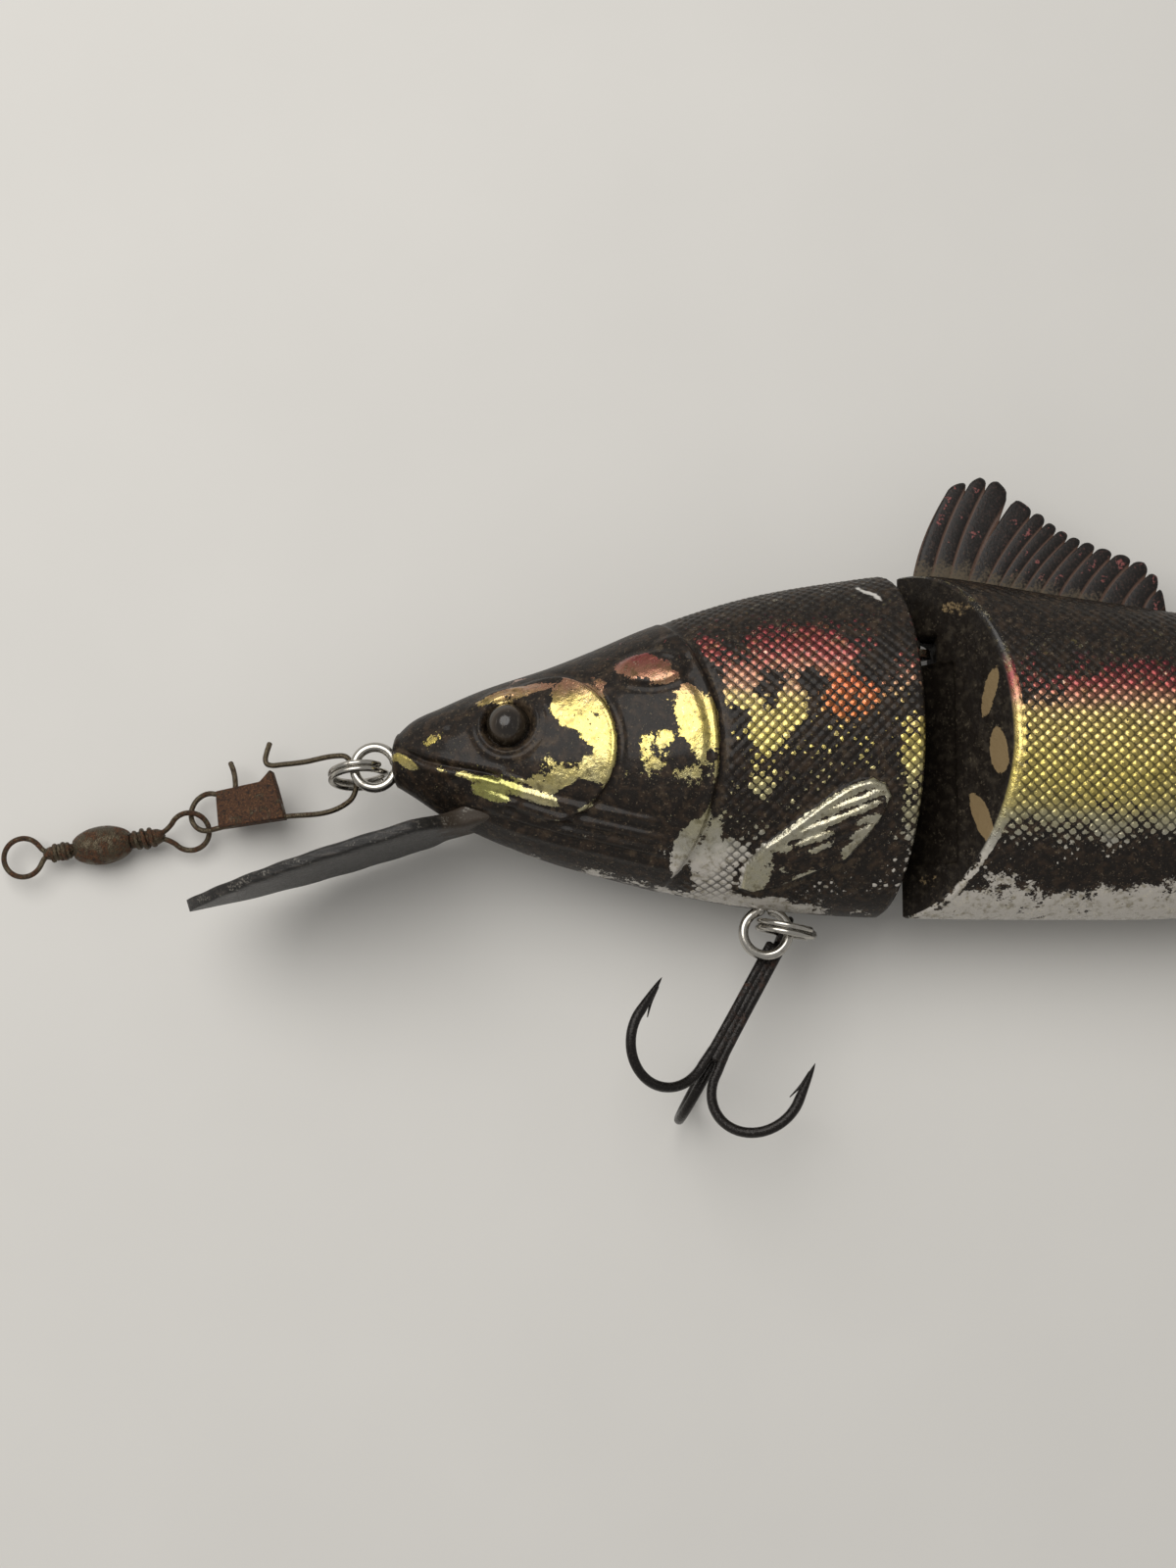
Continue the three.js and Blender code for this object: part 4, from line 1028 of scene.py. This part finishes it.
def wedge_face(rim):
    """The wedge's dark face, with its sunk panel and the slot for the hinge."""
    face = joint_face(rim, WEDGE_X, WEDGE_SLOPE, 60)
    y, reach = face[..., 1], np.abs(face[..., 2] - MID_PLANE)
    panel = smoothstep(-17.3, -16.7, y) * smoothstep(14.5, 13.9, y) * smoothstep(7.9, 7.3, reach)
    depth = 0.75 * panel * math.hypot(1, WEDGE_SLOPE)
    in_slot = (np.abs(y - HINGE_HEIGHT) < SLOT_HALF_HEIGHT) & (reach < SLOT_HALF_WIDTH)
    pocket = np.where(in_slot, np.maximum(SLOT_END - face[..., 0], 0), 0)
    face[..., 0] += np.maximum(depth, pocket)
    return face


class LURE_OT_body(bpy.types.Operator):
    """Models the skin of the head and of the rear section"""

    bl_idname = "lure.body"
    bl_label = "Head and rear section"

    def execute(self, context):
        for name, maker, body, node in (("head_skin", head_skin, "front", "head_section"),
                                        ("rear_skin", rear_skin, "rear", "rear_section")):
            points, fields = maker()
            bm = bmesh.new()
            add_surface(bm, points, fields)
            finish_piece(bm, name, material(foil_finish), body, "body_foil", node)
        return {"FINISHED"}


class LURE_OT_eyes(bpy.types.Operator):
    """Models the glassy eyes"""

    bl_idname = "lure.eyes"
    bl_label = "Eyes"

    def execute(self, context):
        for name, side in (("left_eye_glass", 1), ("right_eye_glass", -1)):
            reach = np.sin(np.linspace(0, math.pi / 2, 18))
            lift = EYE_DOME * np.sqrt(1 - reach ** 2) ** 1.3
            profile = [(0, 0), (0, EYE_RADIUS)] + list(zip(lift[::-1], reach[::-1] * EYE_RADIUS))
            skin = turned_skin(profile)
            share = np.hypot(skin[..., 1], skin[..., 2]) / EYE_RADIUS
            turn = frame_at(*EYE, MID_PLANE + side * EYE_BASE, f"y{-90 * side}")
            bm = bmesh.new()
            add_surface(bm, placed(skin, turn), {"reach": share})
            node = name.replace("_glass", "")
            finish_piece(bm, name, material(glass_eye_finish), "front", "eye_glass", node)
        return {"FINISHED"}


LIP_TIP = (-31.8, -23.2)
LIP_SLOPE = 17.2
LIP_LENGTH = 51.0
LIP_HALF_WIDTH = 13.0
LIP_ROOT_HALF_WIDTH = 6.5
LIP_TAPER = 27.0
LIP_SHOULDER = (37.0, 45.5)


class LURE_OT_lip(bpy.types.Operator):
    """Models the diving lip"""

    bl_idname = "lure.lip"
    bl_label = "Diving lip"

    def execute(self, context):
        along = np.concatenate([LIP_TAPER * np.linspace(0.012, 1, 60) ** 2, np.linspace(LIP_TAPER, LIP_LENGTH, 50)[1:]])
        taper = np.clip(1 - along / LIP_TAPER, 0, 1)
        full = LIP_HALF_WIDTH * np.clip(1 - taper ** 2, 0, 1) ** 0.8
        half = full + (LIP_ROOT_HALF_WIDTH - full) * smoothstep(*LIP_SHOULDER, along)
        thick = 0.95 + 0.3 * np.clip(along / LIP_TAPER, 0, 1) + 0.5 * smoothstep(41, 47, along)
        angles = np.linspace(0, math.tau, 97)
        across = np.sign(np.cos(angles)) * np.abs(np.cos(angles)) ** 0.18
        through = np.sign(np.sin(angles)) * np.abs(np.sin(angles)) ** 0.45
        skin = np.zeros((len(along), len(angles), 3))
        skin[..., 0] = along[:, None]
        skin[..., 2] = half[:, None] * across[None]
        skin[..., 1] = thick[:, None] * through[None]
        skin[..., 1] += 0.05 * np.sin(skin[..., 0] * 0.9 + skin[..., 2] * 0.5)
        ends = [skin[:1].mean(axis=1, keepdims=True).repeat(len(angles), 1),
                skin[-1:].mean(axis=1, keepdims=True).repeat(len(angles), 1)]
        skin = np.concatenate([ends[0], skin, ends[1]])
        edge = np.abs(np.concatenate([across[None]] * len(skin))) ** 6
        tip = smoothstep(4, 0, skin[..., 0])
        fields = {"edge": np.maximum(edge, tip), "soil": smoothstep(36, 47, skin[..., 0])}
        bm = bmesh.new()
        add_surface(bm, placed(skin, frame_at(*LIP_TIP, MID_PLANE, f"z{LIP_SLOPE}")), fields)
        finish_piece(bm, "lip_plate", material(lip_finish), "front", "lip_plastic", "diving_lip")
        return {"FINISHED"}


DORSAL_TIPS = ((90.6, 44.9), (94.1, 45.9), (97.0, 45.2), (101.6, 41.2), (103.9, 39.7), (105.7, 38.1), (107.5, 36.9),
               (109.4, 35.9), (111.5, 35.1), (114.1, 34.1), (117.0, 33.1), (120.1, 31.9), (122.1, 29.6),
               (122.9, 26.9))
DORSAL_FEET = (84.1, 87.0, 89.8, 92.7, 94.8, 96.5, 98.4, 100.8, 103.7, 106.8, 110.0, 113.6, 117.4, 121.4)
DORSAL_BOW = 3.6
FIN_HALF_THICKNESS = 0.78
LOBE_ROUND = 1.25


def fin_skin(feet, tips, valleys, bow, rows=40, per_ray=12):
    """A thin blade of rays from a base line to round lobes, made as its two faces."""
    count = len(tips)
    rays = np.linspace(-0.5, count - 0.5, count * per_ray + 1)
    tip, foot = along_rays(tips, rays), along_rays(feet, rays)
    off = np.abs(rays - np.round(rays)) * 2
    lobe = LOBE_ROUND * (1 - np.sqrt(1 - np.minimum(off, 0.995) ** 2))
    lobe = lobe + np.interp(rays - 0.5, np.arange(count - 1), valleys) * off ** 8
    length = np.linalg.norm(tip - foot, axis=1)
    tip = tip + (foot - tip) * (lobe / length)[:, None]
    reach = np.linspace(0, 1, rows + 1) ** 0.8
    flat = foot[:, None] + (tip - foot)[:, None] * reach[None, :, None]
    flat[..., 0] -= bow * reach * (1 - reach)
    crest = 0.66 + 0.34 * np.sqrt(1 - np.minimum(off, 0.98) ** 2)
    taper = np.sqrt(np.clip(1 - reach ** 8, 0, 1)) * (1 - 0.35 * reach)
    ends = np.clip(np.minimum(rays + 0.5, count - 0.5 - rays) * 3, 0, 1)
    thick = FIN_HALF_THICKNESS * crest[:, None] * taper[None] * np.sqrt(1 - (1 - ends) ** 2)[:, None]
    left = np.concatenate([flat, (MID_PLANE + thick)[..., None]], axis=2)
    right = np.concatenate([flat, (MID_PLANE - thick)[..., None]], axis=2)
    skin = np.concatenate([left, right[:, ::-1], left[:, :1]], axis=1)
    fields = {"ray": np.broadcast_to(rays[:, None], thick.shape), "reach": np.broadcast_to(reach[None], thick.shape)}
    return skin, {key: np.concatenate([field, field[:, ::-1], field[:, :1]], axis=1) for key, field in fields.items()}


def along_rays(points, rays):
    """Points between given ones, and half a step past both ends."""
    points = np.asarray(points, float)
    numbers = np.arange(len(points))
    first = points[0] - (points[1] - points[0]) * 0.5
    last = points[-1] + (points[-1] - points[-2]) * 0.5
    numbers = np.concatenate([[-0.5], numbers, [len(points) - 0.5]])
    points = np.concatenate([[first], points, [last]])
    return np.stack([np.interp(rays, numbers, points[:, axis]) for axis in (0, 1)], axis=1)


class LURE_OT_fins(bpy.types.Operator):
    """Models the fin on the back and the tail fin"""

    bl_idname = "lure.fins"
    bl_label = "Fins"

    def execute(self, context):
        feet_x = np.array(DORSAL_FEET)
        feet = np.stack([feet_x, curve(STATIONS, BACK, feet_x) - 2.0], axis=1)
        valleys = [0.8, 0.8, 4.8] + [0.5] * (len(DORSAL_TIPS) - 4)
        self.blade("dorsal_blade", "dorsal_fin", feet, DORSAL_TIPS, valleys, DORSAL_BOW)
        rays = 17
        across = np.linspace(-0.97, 0.97, rays)
        feet = np.stack([np.full(rays, 191.0), 1 + 6.2 * across], axis=1)
        tips = np.stack([230.8 - 6 * (1 - across ** 2) - 2.4 * np.abs(across) ** 8, 1 + 22.6 * across], axis=1)
        self.blade("tail_blade", "tail_fin", feet, tips, [0.5] * (rays - 1), 0)
        return {"FINISHED"}

    def blade(self, name, node, feet, tips, valleys, bow):
        skin, fields = fin_skin(feet, tips, valleys, bow)
        bm = bmesh.new()
        add_surface(bm, skin, fields)
        finish_piece(bm, name, material(fin_finish), "rear", "fin_plastic", node)


TOW_EYE = (-2.74, -1.25)
TOW_EYE_RADIUS = 3.25
HOOK_EYE_RADIUS = 3.54
BELLY_HOOK = {"x": 58.9, "y": -27.4, "lean": 0, "swing": -29.3, "pitch": -11.6}
REAR_HOOK = {"x": 158.0, "y": -22.9, "lean": 14, "swing": -27, "pitch": -11.6}


def screw_eye(radius):
    """Wire bent to a loop about the origin, whose two ends run along X into the body."""
    wire = bpy.context.scene.lure_wire.eye_wire / MM
    loop = circle_path(radius, 14, 346)
    reach = radius + 4.0
    path = np.concatenate([[(reach, 0.75, 0), (radius + 1.2, 0.75, 0)], loop,
                           [(radius + 1.2, -0.75, 0), (reach, -0.75, 0)]])
    return wire_skin(smooth_path(path), wire, 14)


def split_ring():
    """Nearly two turns of wire, with a step between its ends where it changes sides."""
    sizes = bpy.context.scene.lure_wire
    pitch = 2 * sizes.ring_wire / MM + 0.06
    lift = lambda angle: pitch * (smoothstep(327, 393, angle) - 0.5)
    path = circle_path(sizes.ring_radius / MM, 36, 684, 110, lift)
    return wire_skin(path, sizes.ring_wire / MM, 12)


class LURE_OT_eyelets(bpy.types.Operator):
    """Models the wire eyes in the nose and the belly, and the split rings on them"""

    bl_idname = "lure.eyelets"
    bl_label = "Wire eyes and split rings"

    def execute(self, context):
        steel = material(steel_finish)
        tow = placed(screw_eye(TOW_EYE_RADIUS), frame_at(*TOW_EYE, MID_PLANE))
        wire_piece("tow_loop", [tow], steel, "front", "bright_steel", "tow_eye")
        ring = placed(split_ring(), frame_at(-5.55, -2.15, 13.4, "z5.73 x-12.6 x-90"))
        wire_piece("nose_ring", [ring], steel, "front", "bright_steel", "nose_split_ring")
        for hook, body, where in ((BELLY_HOOK, "front", "belly"), (REAR_HOOK, "rear", "rear")):
            place = frame_at(hook["x"], hook["y"], MID_PLANE, f"z{hook['lean']}")
            eye = placed(placed(screw_eye(HOOK_EYE_RADIUS), frame_at(0, 0, 0, "z90")), place)
            node = "belly_eye" if where == "belly" else "rear_hook_eye"
            wire_piece(f"{where}_loop", [eye], steel, body, "bright_steel", node)
            ring = placed(placed(split_ring(), frame_at(3.2, 0.5, 0, "z-10.9 x1.7 x-90")), place)
            wire_piece(f"{where}_ring", [ring], steel, body, "bright_steel", f"{where}_split_ring")
        return {"FINISHED"}


SNAP_WIRE = ((10.0, 11.2), (9.6, 9.6), (9.5, 8.5), (9.8, 7.8), (10.7, 7.45), (12.6, 7.5), (16.5, 7.75), (22.0, 8.5),
             (23.9, 8.3), (25.1, 7.0), (25.9, 5.0), (26.2, 2.9), (25.6, 1.2), (24.0, 0.0), (21.4, -0.9), (14.3, -1.3),
             (6, -2.1))
SNAP_STUB = ((1.6, 3), (3.4, 2.95), (4.4, 3.6), (4.3, 5.4), (3.8, 7.0), (3.2, 8.2))
SNAP_LOOP_RADIUS = 3.15
SNAP_CLIP = ((1.3, 3.3), (9.2, 4.6), (10.9, 6.6), (12.1, 3.8), (14.2, -1.7), (2.5, -2.9))


class LURE_OT_snap(bpy.types.Operator):
    """Models the opened snap: its bent wire and its folded clip"""

    bl_idname = "lure.snap"
    bl_label = "Snap"

    def execute(self, context):
        place = frame_at(-30.95, -6.94, 4, "y-19.3 x-9.1")
        loop = circle_path(SNAP_LOOP_RADIUS, -75, -285, 30)[:, :2]
        path = [(u, v, 0) for u, v in (*SNAP_WIRE, *loop, *SNAP_STUB)]
        radius = bpy.context.scene.lure_wire.leader_wire / MM
        wire = placed(wire_skin(smooth_path(path), radius, 12), place)
        wire_piece("snap_bow", [wire], material(leader_finish, "snap_metal", 0.42), "front", "old_brass", "snap_wire")
        bm = bmesh.new()
        corners = [bm.verts.new((u, v, -0.98)) for u, v in SNAP_CLIP]
        face = bm.faces.new(corners)
        grown = bmesh.ops.extrude_face_region(bm, geom=[face])["geom"]
        moved = [item for item in grown if isinstance(item, bmesh.types.BMVert)]
        bmesh.ops.translate(bm, verts=moved, vec=(0, 0, 1.96))
        bmesh.ops.bevel(bm, geom=bm.edges[:], offset=0.3, segments=3, affect="EDGES", profile=0.5, material=-1)
        bmesh.ops.triangulate(bm, faces=bm.faces[:])
        bmesh.ops.subdivide_edges(bm, edges=bm.edges[:], cuts=2, use_grid_fill=True)
        for vert in bm.verts:
            dent = math.sin(vert.co.x * 1.9) * math.cos(vert.co.y * 2.3) + 0.6 * math.sin(vert.co.x * 4.3 + vert.co.y)
            vert.co.z *= 0.94 + 0.04 * dent
        for vert in bm.verts:
            vert.co = (place @ vert.co - Vector(FLAT_SPOT)) * MM
        finish_piece(bm, "snap_sheet", material(leader_finish, "rusty_sheet", 0.72), "front", "old_brass", "snap_clip")
        return {"FINISHED"}


BARREL_HALF_LENGTH = 4.6
BARREL_RADIUS = 3.15
SWIVEL_LOOP_RADIUS = 3.15


def swivel_eye(collar, length, turns, loop_distance):
    """A loop of wire whose ends are wrapped round the stem that enters the barrel."""
    wire = bpy.context.scene.lure_wire.leader_wire / MM
    start = BARREL_HALF_LENGTH + 0.35
    end = start + length
    angles = np.linspace(0, math.tau * turns, int(turns * 20) + 1)
    coil = collar - wire * (1.0 + 0.25 * np.cos(angles * 0.37))
    helix = np.stack([start + wire + (length - 2 * wire) * angles / angles[-1],
                      coil * np.cos(angles), coil * np.sin(angles)], axis=1)
    middle = end + loop_distance
    loop = circle_path(SWIVEL_LOOP_RADIUS, 146, -146, 44) + (middle, 0, 0)
    path = np.concatenate([[(start - 1.6, 0.3, 0), (end - 0.2, 0.45, 0), (end + 0.9, 0.55, 0)], loop,
                           [(end + 0.9, -0.55, 0), (end - 0.2, -0.45, 0), (start - 1.6, -0.3, 0)]])
    core = turned_skin([(start - 0.2, 0), (start - 0.2, collar - wire), (end - 0.5, collar - wire),
                        (end, 0.75 * collar), (end + 0.9, 0.55 * collar), (end + 1.3, 0)], 16)
    return [wire_skin(smooth_path(path), wire, 12), wire_skin(helix, wire, 10), core]


class LURE_OT_swivel(bpy.types.Operator):
    """Models the barrel swivel and its two eyes"""

    bl_idname = "lure.swivel"
    bl_label = "Swivel"

    def execute(self, context):
        place = frame_at(-48.2, -12.3, 3.35, "z9")
        snap_side = place @ frame_at(0, 0, 0, "x20")
        line_side = place @ frame_at(0, 0, 0, "z180")
        metal = material(leader_finish, "swivel_metal", 0.55)
        eye = [placed(skin, snap_side) for skin in swivel_eye(1.75, 4.1, 2.6, 5.3)]
        wire_piece("swivel_inner_loop", eye, metal, "front", "old_brass", "swivel_snap_eye")
        eye = [placed(skin, line_side) for skin in swivel_eye(1.5, 3.6, 4.0, 4.5)]
        wire_piece("swivel_outer_loop", eye, metal, "line_eye", "old_brass", "swivel_line_eye")
        share = np.linspace(-1, 1, 41)
        outside = np.stack([share * BARREL_HALF_LENGTH, BARREL_RADIUS * np.sqrt(1 - (0.87 * share) ** 2)], axis=1)
        end = BARREL_HALF_LENGTH
        profile = [(1 - end, 0), (1 - end, 0.95), (-end + 0.15, 0.95), (-end, 1.15), *outside, (end, 1.15),
                   (end - 0.15, 0.95), (end - 1, 0.95), (end - 1, 0)]
        barrel = placed(turned_skin(profile, 48), place)
        wire_piece("swivel_body", [barrel], metal, "barrel", "old_brass", "swivel_barrel")
        return {"FINISHED"}


TREBLE_EYE_RADIUS = 1.9
TREBLE_EYE_WIRE = 0.6
BEND_RADIUS = 7.25
SHANK_OFFSET = 1.45
BEND_DEPTH = 25.6
POINT_LENGTH = 7.1


def treble_skins():
    """Three hooks side by side on one shank, each with its bend, point and barb, and their eye."""
    wire = bpy.context.scene.lure_wire.hook_wire / MM
    bend_out = SHANK_OFFSET + BEND_RADIUS
    angles = np.radians(np.linspace(180, 0, 30))
    bend = np.stack([np.zeros(30), -BEND_DEPTH - BEND_RADIUS * np.sin(angles),
                     bend_out + BEND_RADIUS * np.cos(angles)], axis=1)
    top = [(0, -TREBLE_EYE_RADIUS - 1.4, 1.02), (0, -8, 1.02), (0, -BEND_DEPTH + 6, 1.08), (0, -BEND_DEPTH + 2.2, 1.2)]
    tip_out = bend_out + BEND_RADIUS
    point = [(0, -BEND_DEPTH + share * POINT_LENGTH, tip_out - 0.5 * share) for share in np.linspace(0.15, 1, 10)]
    path = smooth_path(np.concatenate([top, bend, point]), 0.35)
    from_tip = np.maximum(POINT_LENGTH - 0.2 - (path[:, 1] + BEND_DEPTH), 0)
    on_point = (path[:, 2] > bend_out) & (path[:, 1] > -BEND_DEPTH - 0.5)
    radius = np.where(on_point, wire * np.clip(0.05 + 1.05 * (from_tip / POINT_LENGTH) ** 0.6, 0.05, 1), wire)
    radius = np.where(path[:, 1] > -BEND_DEPTH + 3, np.where(on_point, radius, wire * 0.92), radius)
    hook = wire_skin(path, radius, 12)
    barb_path = smooth_path([(0, -BEND_DEPTH + 5.4, tip_out - 0.45), (0, -BEND_DEPTH + 3.0, tip_out - 0.9),
                             (0, -BEND_DEPTH + 0.7, tip_out - 1.65)])
    barb = wire_skin(barb_path, np.linspace(0.42, 0.09, len(barb_path)), 8)
    skins = []
    for turn in (60, 180, 300):
        place = frame_at(0, 0, 0, f"y{turn}")
        skins += [placed(hook, place), placed(barb, place)]
    eye = placed(wire_skin(circle_path(TREBLE_EYE_RADIUS), TREBLE_EYE_WIRE, 12, closed=True), frame_at(0, 0, 0, "y90"))
    length = np.linspace(0, 1, 30)
    core_radius = 1.08 + 0.07 * np.sin(length * 19) + 0.2 * smoothstep(0.75, 0.95, length)
    core_reach = TREBLE_EYE_RADIUS + 1.1 + (BEND_DEPTH - 4.4) * length
    core = [(TREBLE_EYE_RADIUS, 0), (TREBLE_EYE_RADIUS + 0.1, 0.55), (core_reach[0] - 0.1, 0.55),
            *zip(core_reach, core_radius), (BEND_DEPTH - 1.2, 0)]
    return [*skins, eye, placed(turned_skin(core, 16), frame_at(0, 0, 0, "z-90"))]


class LURE_OT_trebles(bpy.types.Operator):
    """Models the treble hooks"""

    bl_idname = "lure.trebles"
    bl_label = "Treble hooks"

    def execute(self, context):
        ring = context.scene.lure_wire.ring_radius / MM
        skins = treble_skins()
        for hook, body, node in ((BELLY_HOOK, "front", "belly_treble"), (REAR_HOOK, "rear", "rear_treble")):
            place = (frame_at(hook["x"], hook["y"], MID_PLANE, f"z{hook['lean']}")
                     @ frame_at(3.2, 0.6, 0.25 - ring, f"z{hook['swing']} x{hook['pitch']}"))
            bm = bmesh.new()
            for skin in skins:
                down = smoothstep(-BEND_DEPTH - 1, -BEND_DEPTH + 3, skin[..., 1])
                near = smoothstep(4, 2, np.hypot(skin[..., 0], skin[..., 2]))
                add_surface(bm, placed(skin, place), {"shank": down * near})
            finish_piece(bm, node.replace("treble", "hook"), material(hook_finish), body, "hook_iron", node)
        return {"FINISHED"}


class LURE_OT_hinge(bpy.types.Operator):
    """Finishes the hinge's tongue and pin, which keep their shape"""

    bl_idname = "lure.hinge"
    bl_label = "Hinge"

    def execute(self, context):
        for name, finish in (("hinge_tongue", material(leader_finish, "tongue_metal", 0.5)),
                             ("hinge_pin", material(steel_finish))):
            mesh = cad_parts[name].data
            mesh.materials.clear()
            mesh.materials.append(finish)
        return {"FINISHED"}


class LURE_OT_stage(bpy.types.Operator):
    """Sets the pale table, the soft light and the camera"""

    bl_idname = "lure.stage"
    bl_label = "Stage"

    def execute(self, context):
        stage = context.scene.lure_stage
        bm = bmesh.new()
        bmesh.ops.create_grid(bm, x_segments=4, y_segments=4, size=2.0)
        mesh = bpy.data.meshes.new("table")
        bm.to_mesh(mesh)
        bm.free()
        table = bpy.data.objects.new("table", mesh)
        context.scene.collection.objects.link(table)
        mesh.materials.append(material(floor_finish))

        world = bpy.data.worlds.new("room")
        world.use_nodes = True
        world.node_tree.nodes["Background"].inputs["Color"].default_value = (1, 0.985, 0.96, 1)
        world.node_tree.nodes["Background"].inputs["Strength"].default_value = stage.sky
        context.scene.world = world
        self.lamp("window", (-0.30, 0.28, 0.70), 0.8, stage.lamp)
        context.scene.view_settings.view_transform = "Standard"

        camera_data = bpy.data.cameras.new("camera")
        camera_data.lens = stage.lens
        camera_data.clip_start = 0.01
        camera = bpy.data.objects.new("camera", camera_data)
        target = Vector((-0.039, -0.005875, MID_PLANE * MM))
        back = Vector((0, -math.sin(stage.tilt), math.cos(stage.tilt)))
        camera.location = target + back * stage.distance
        camera.rotation_euler = (stage.tilt, 0, 0)
        context.scene.collection.objects.link(camera)
        context.scene.camera = camera
        return {"FINISHED"}

    def lamp(self, name, place, size, power):
        data = bpy.data.lights.new(name, "AREA")
        data.shape = "DISK"
        data.size = size
        data.energy = power
        data.color = (1.0, 0.98, 0.95)
        lamp = bpy.data.objects.new(name, data)
        lamp.location = place
        lamp.rotation_euler = (-Vector(place)).to_track_quat("-Z", "Y").to_euler()
        bpy.context.scene.collection.objects.link(lamp)


OPERATORS = (LURE_OT_stage, LURE_OT_body, LURE_OT_eyes, LURE_OT_lip, LURE_OT_fins, LURE_OT_eyelets, LURE_OT_snap,
             LURE_OT_swivel, LURE_OT_trebles, LURE_OT_hinge)
SETTINGS = {"lure_body": BodySizes, "lure_wire": WireSizes, "lure_colours": FinishColours,
            "lure_stage": StageSettings}


class LURE_PT_panel(bpy.types.Panel):
    """Sizes, colours and steps of the lure"""

    bl_idname = "LURE_PT_panel"
    bl_label = "Jointed lure"
    bl_space_type = "VIEW_3D"
    bl_region_type = "UI"
    bl_category = "Lure"

    def draw(self, context):
        for name, group in SETTINGS.items():
            box = self.layout.box()
            for key in group.__annotations__:
                box.prop(getattr(context.scene, name), key)
        for operator in OPERATORS:
            self.layout.operator(operator.bl_idname)


CLASSES = (*SETTINGS.values(), *OPERATORS, LURE_PT_panel)


def register():
    for item in CLASSES:
        bpy.utils.register_class(item)
    for name, group in SETTINGS.items():
        setattr(bpy.types.Scene, name, PointerProperty(type=group))


def unregister():
    for name in SETTINGS:
        delattr(bpy.types.Scene, name)
    for item in reversed(CLASSES):
        bpy.utils.unregister_class(item)


def main():
    register()
    for operator in OPERATORS:
        group, name = operator.bl_idname.split(".")
        getattr(getattr(bpy.ops, group), name)()


if __name__ == "__main__":
    main()
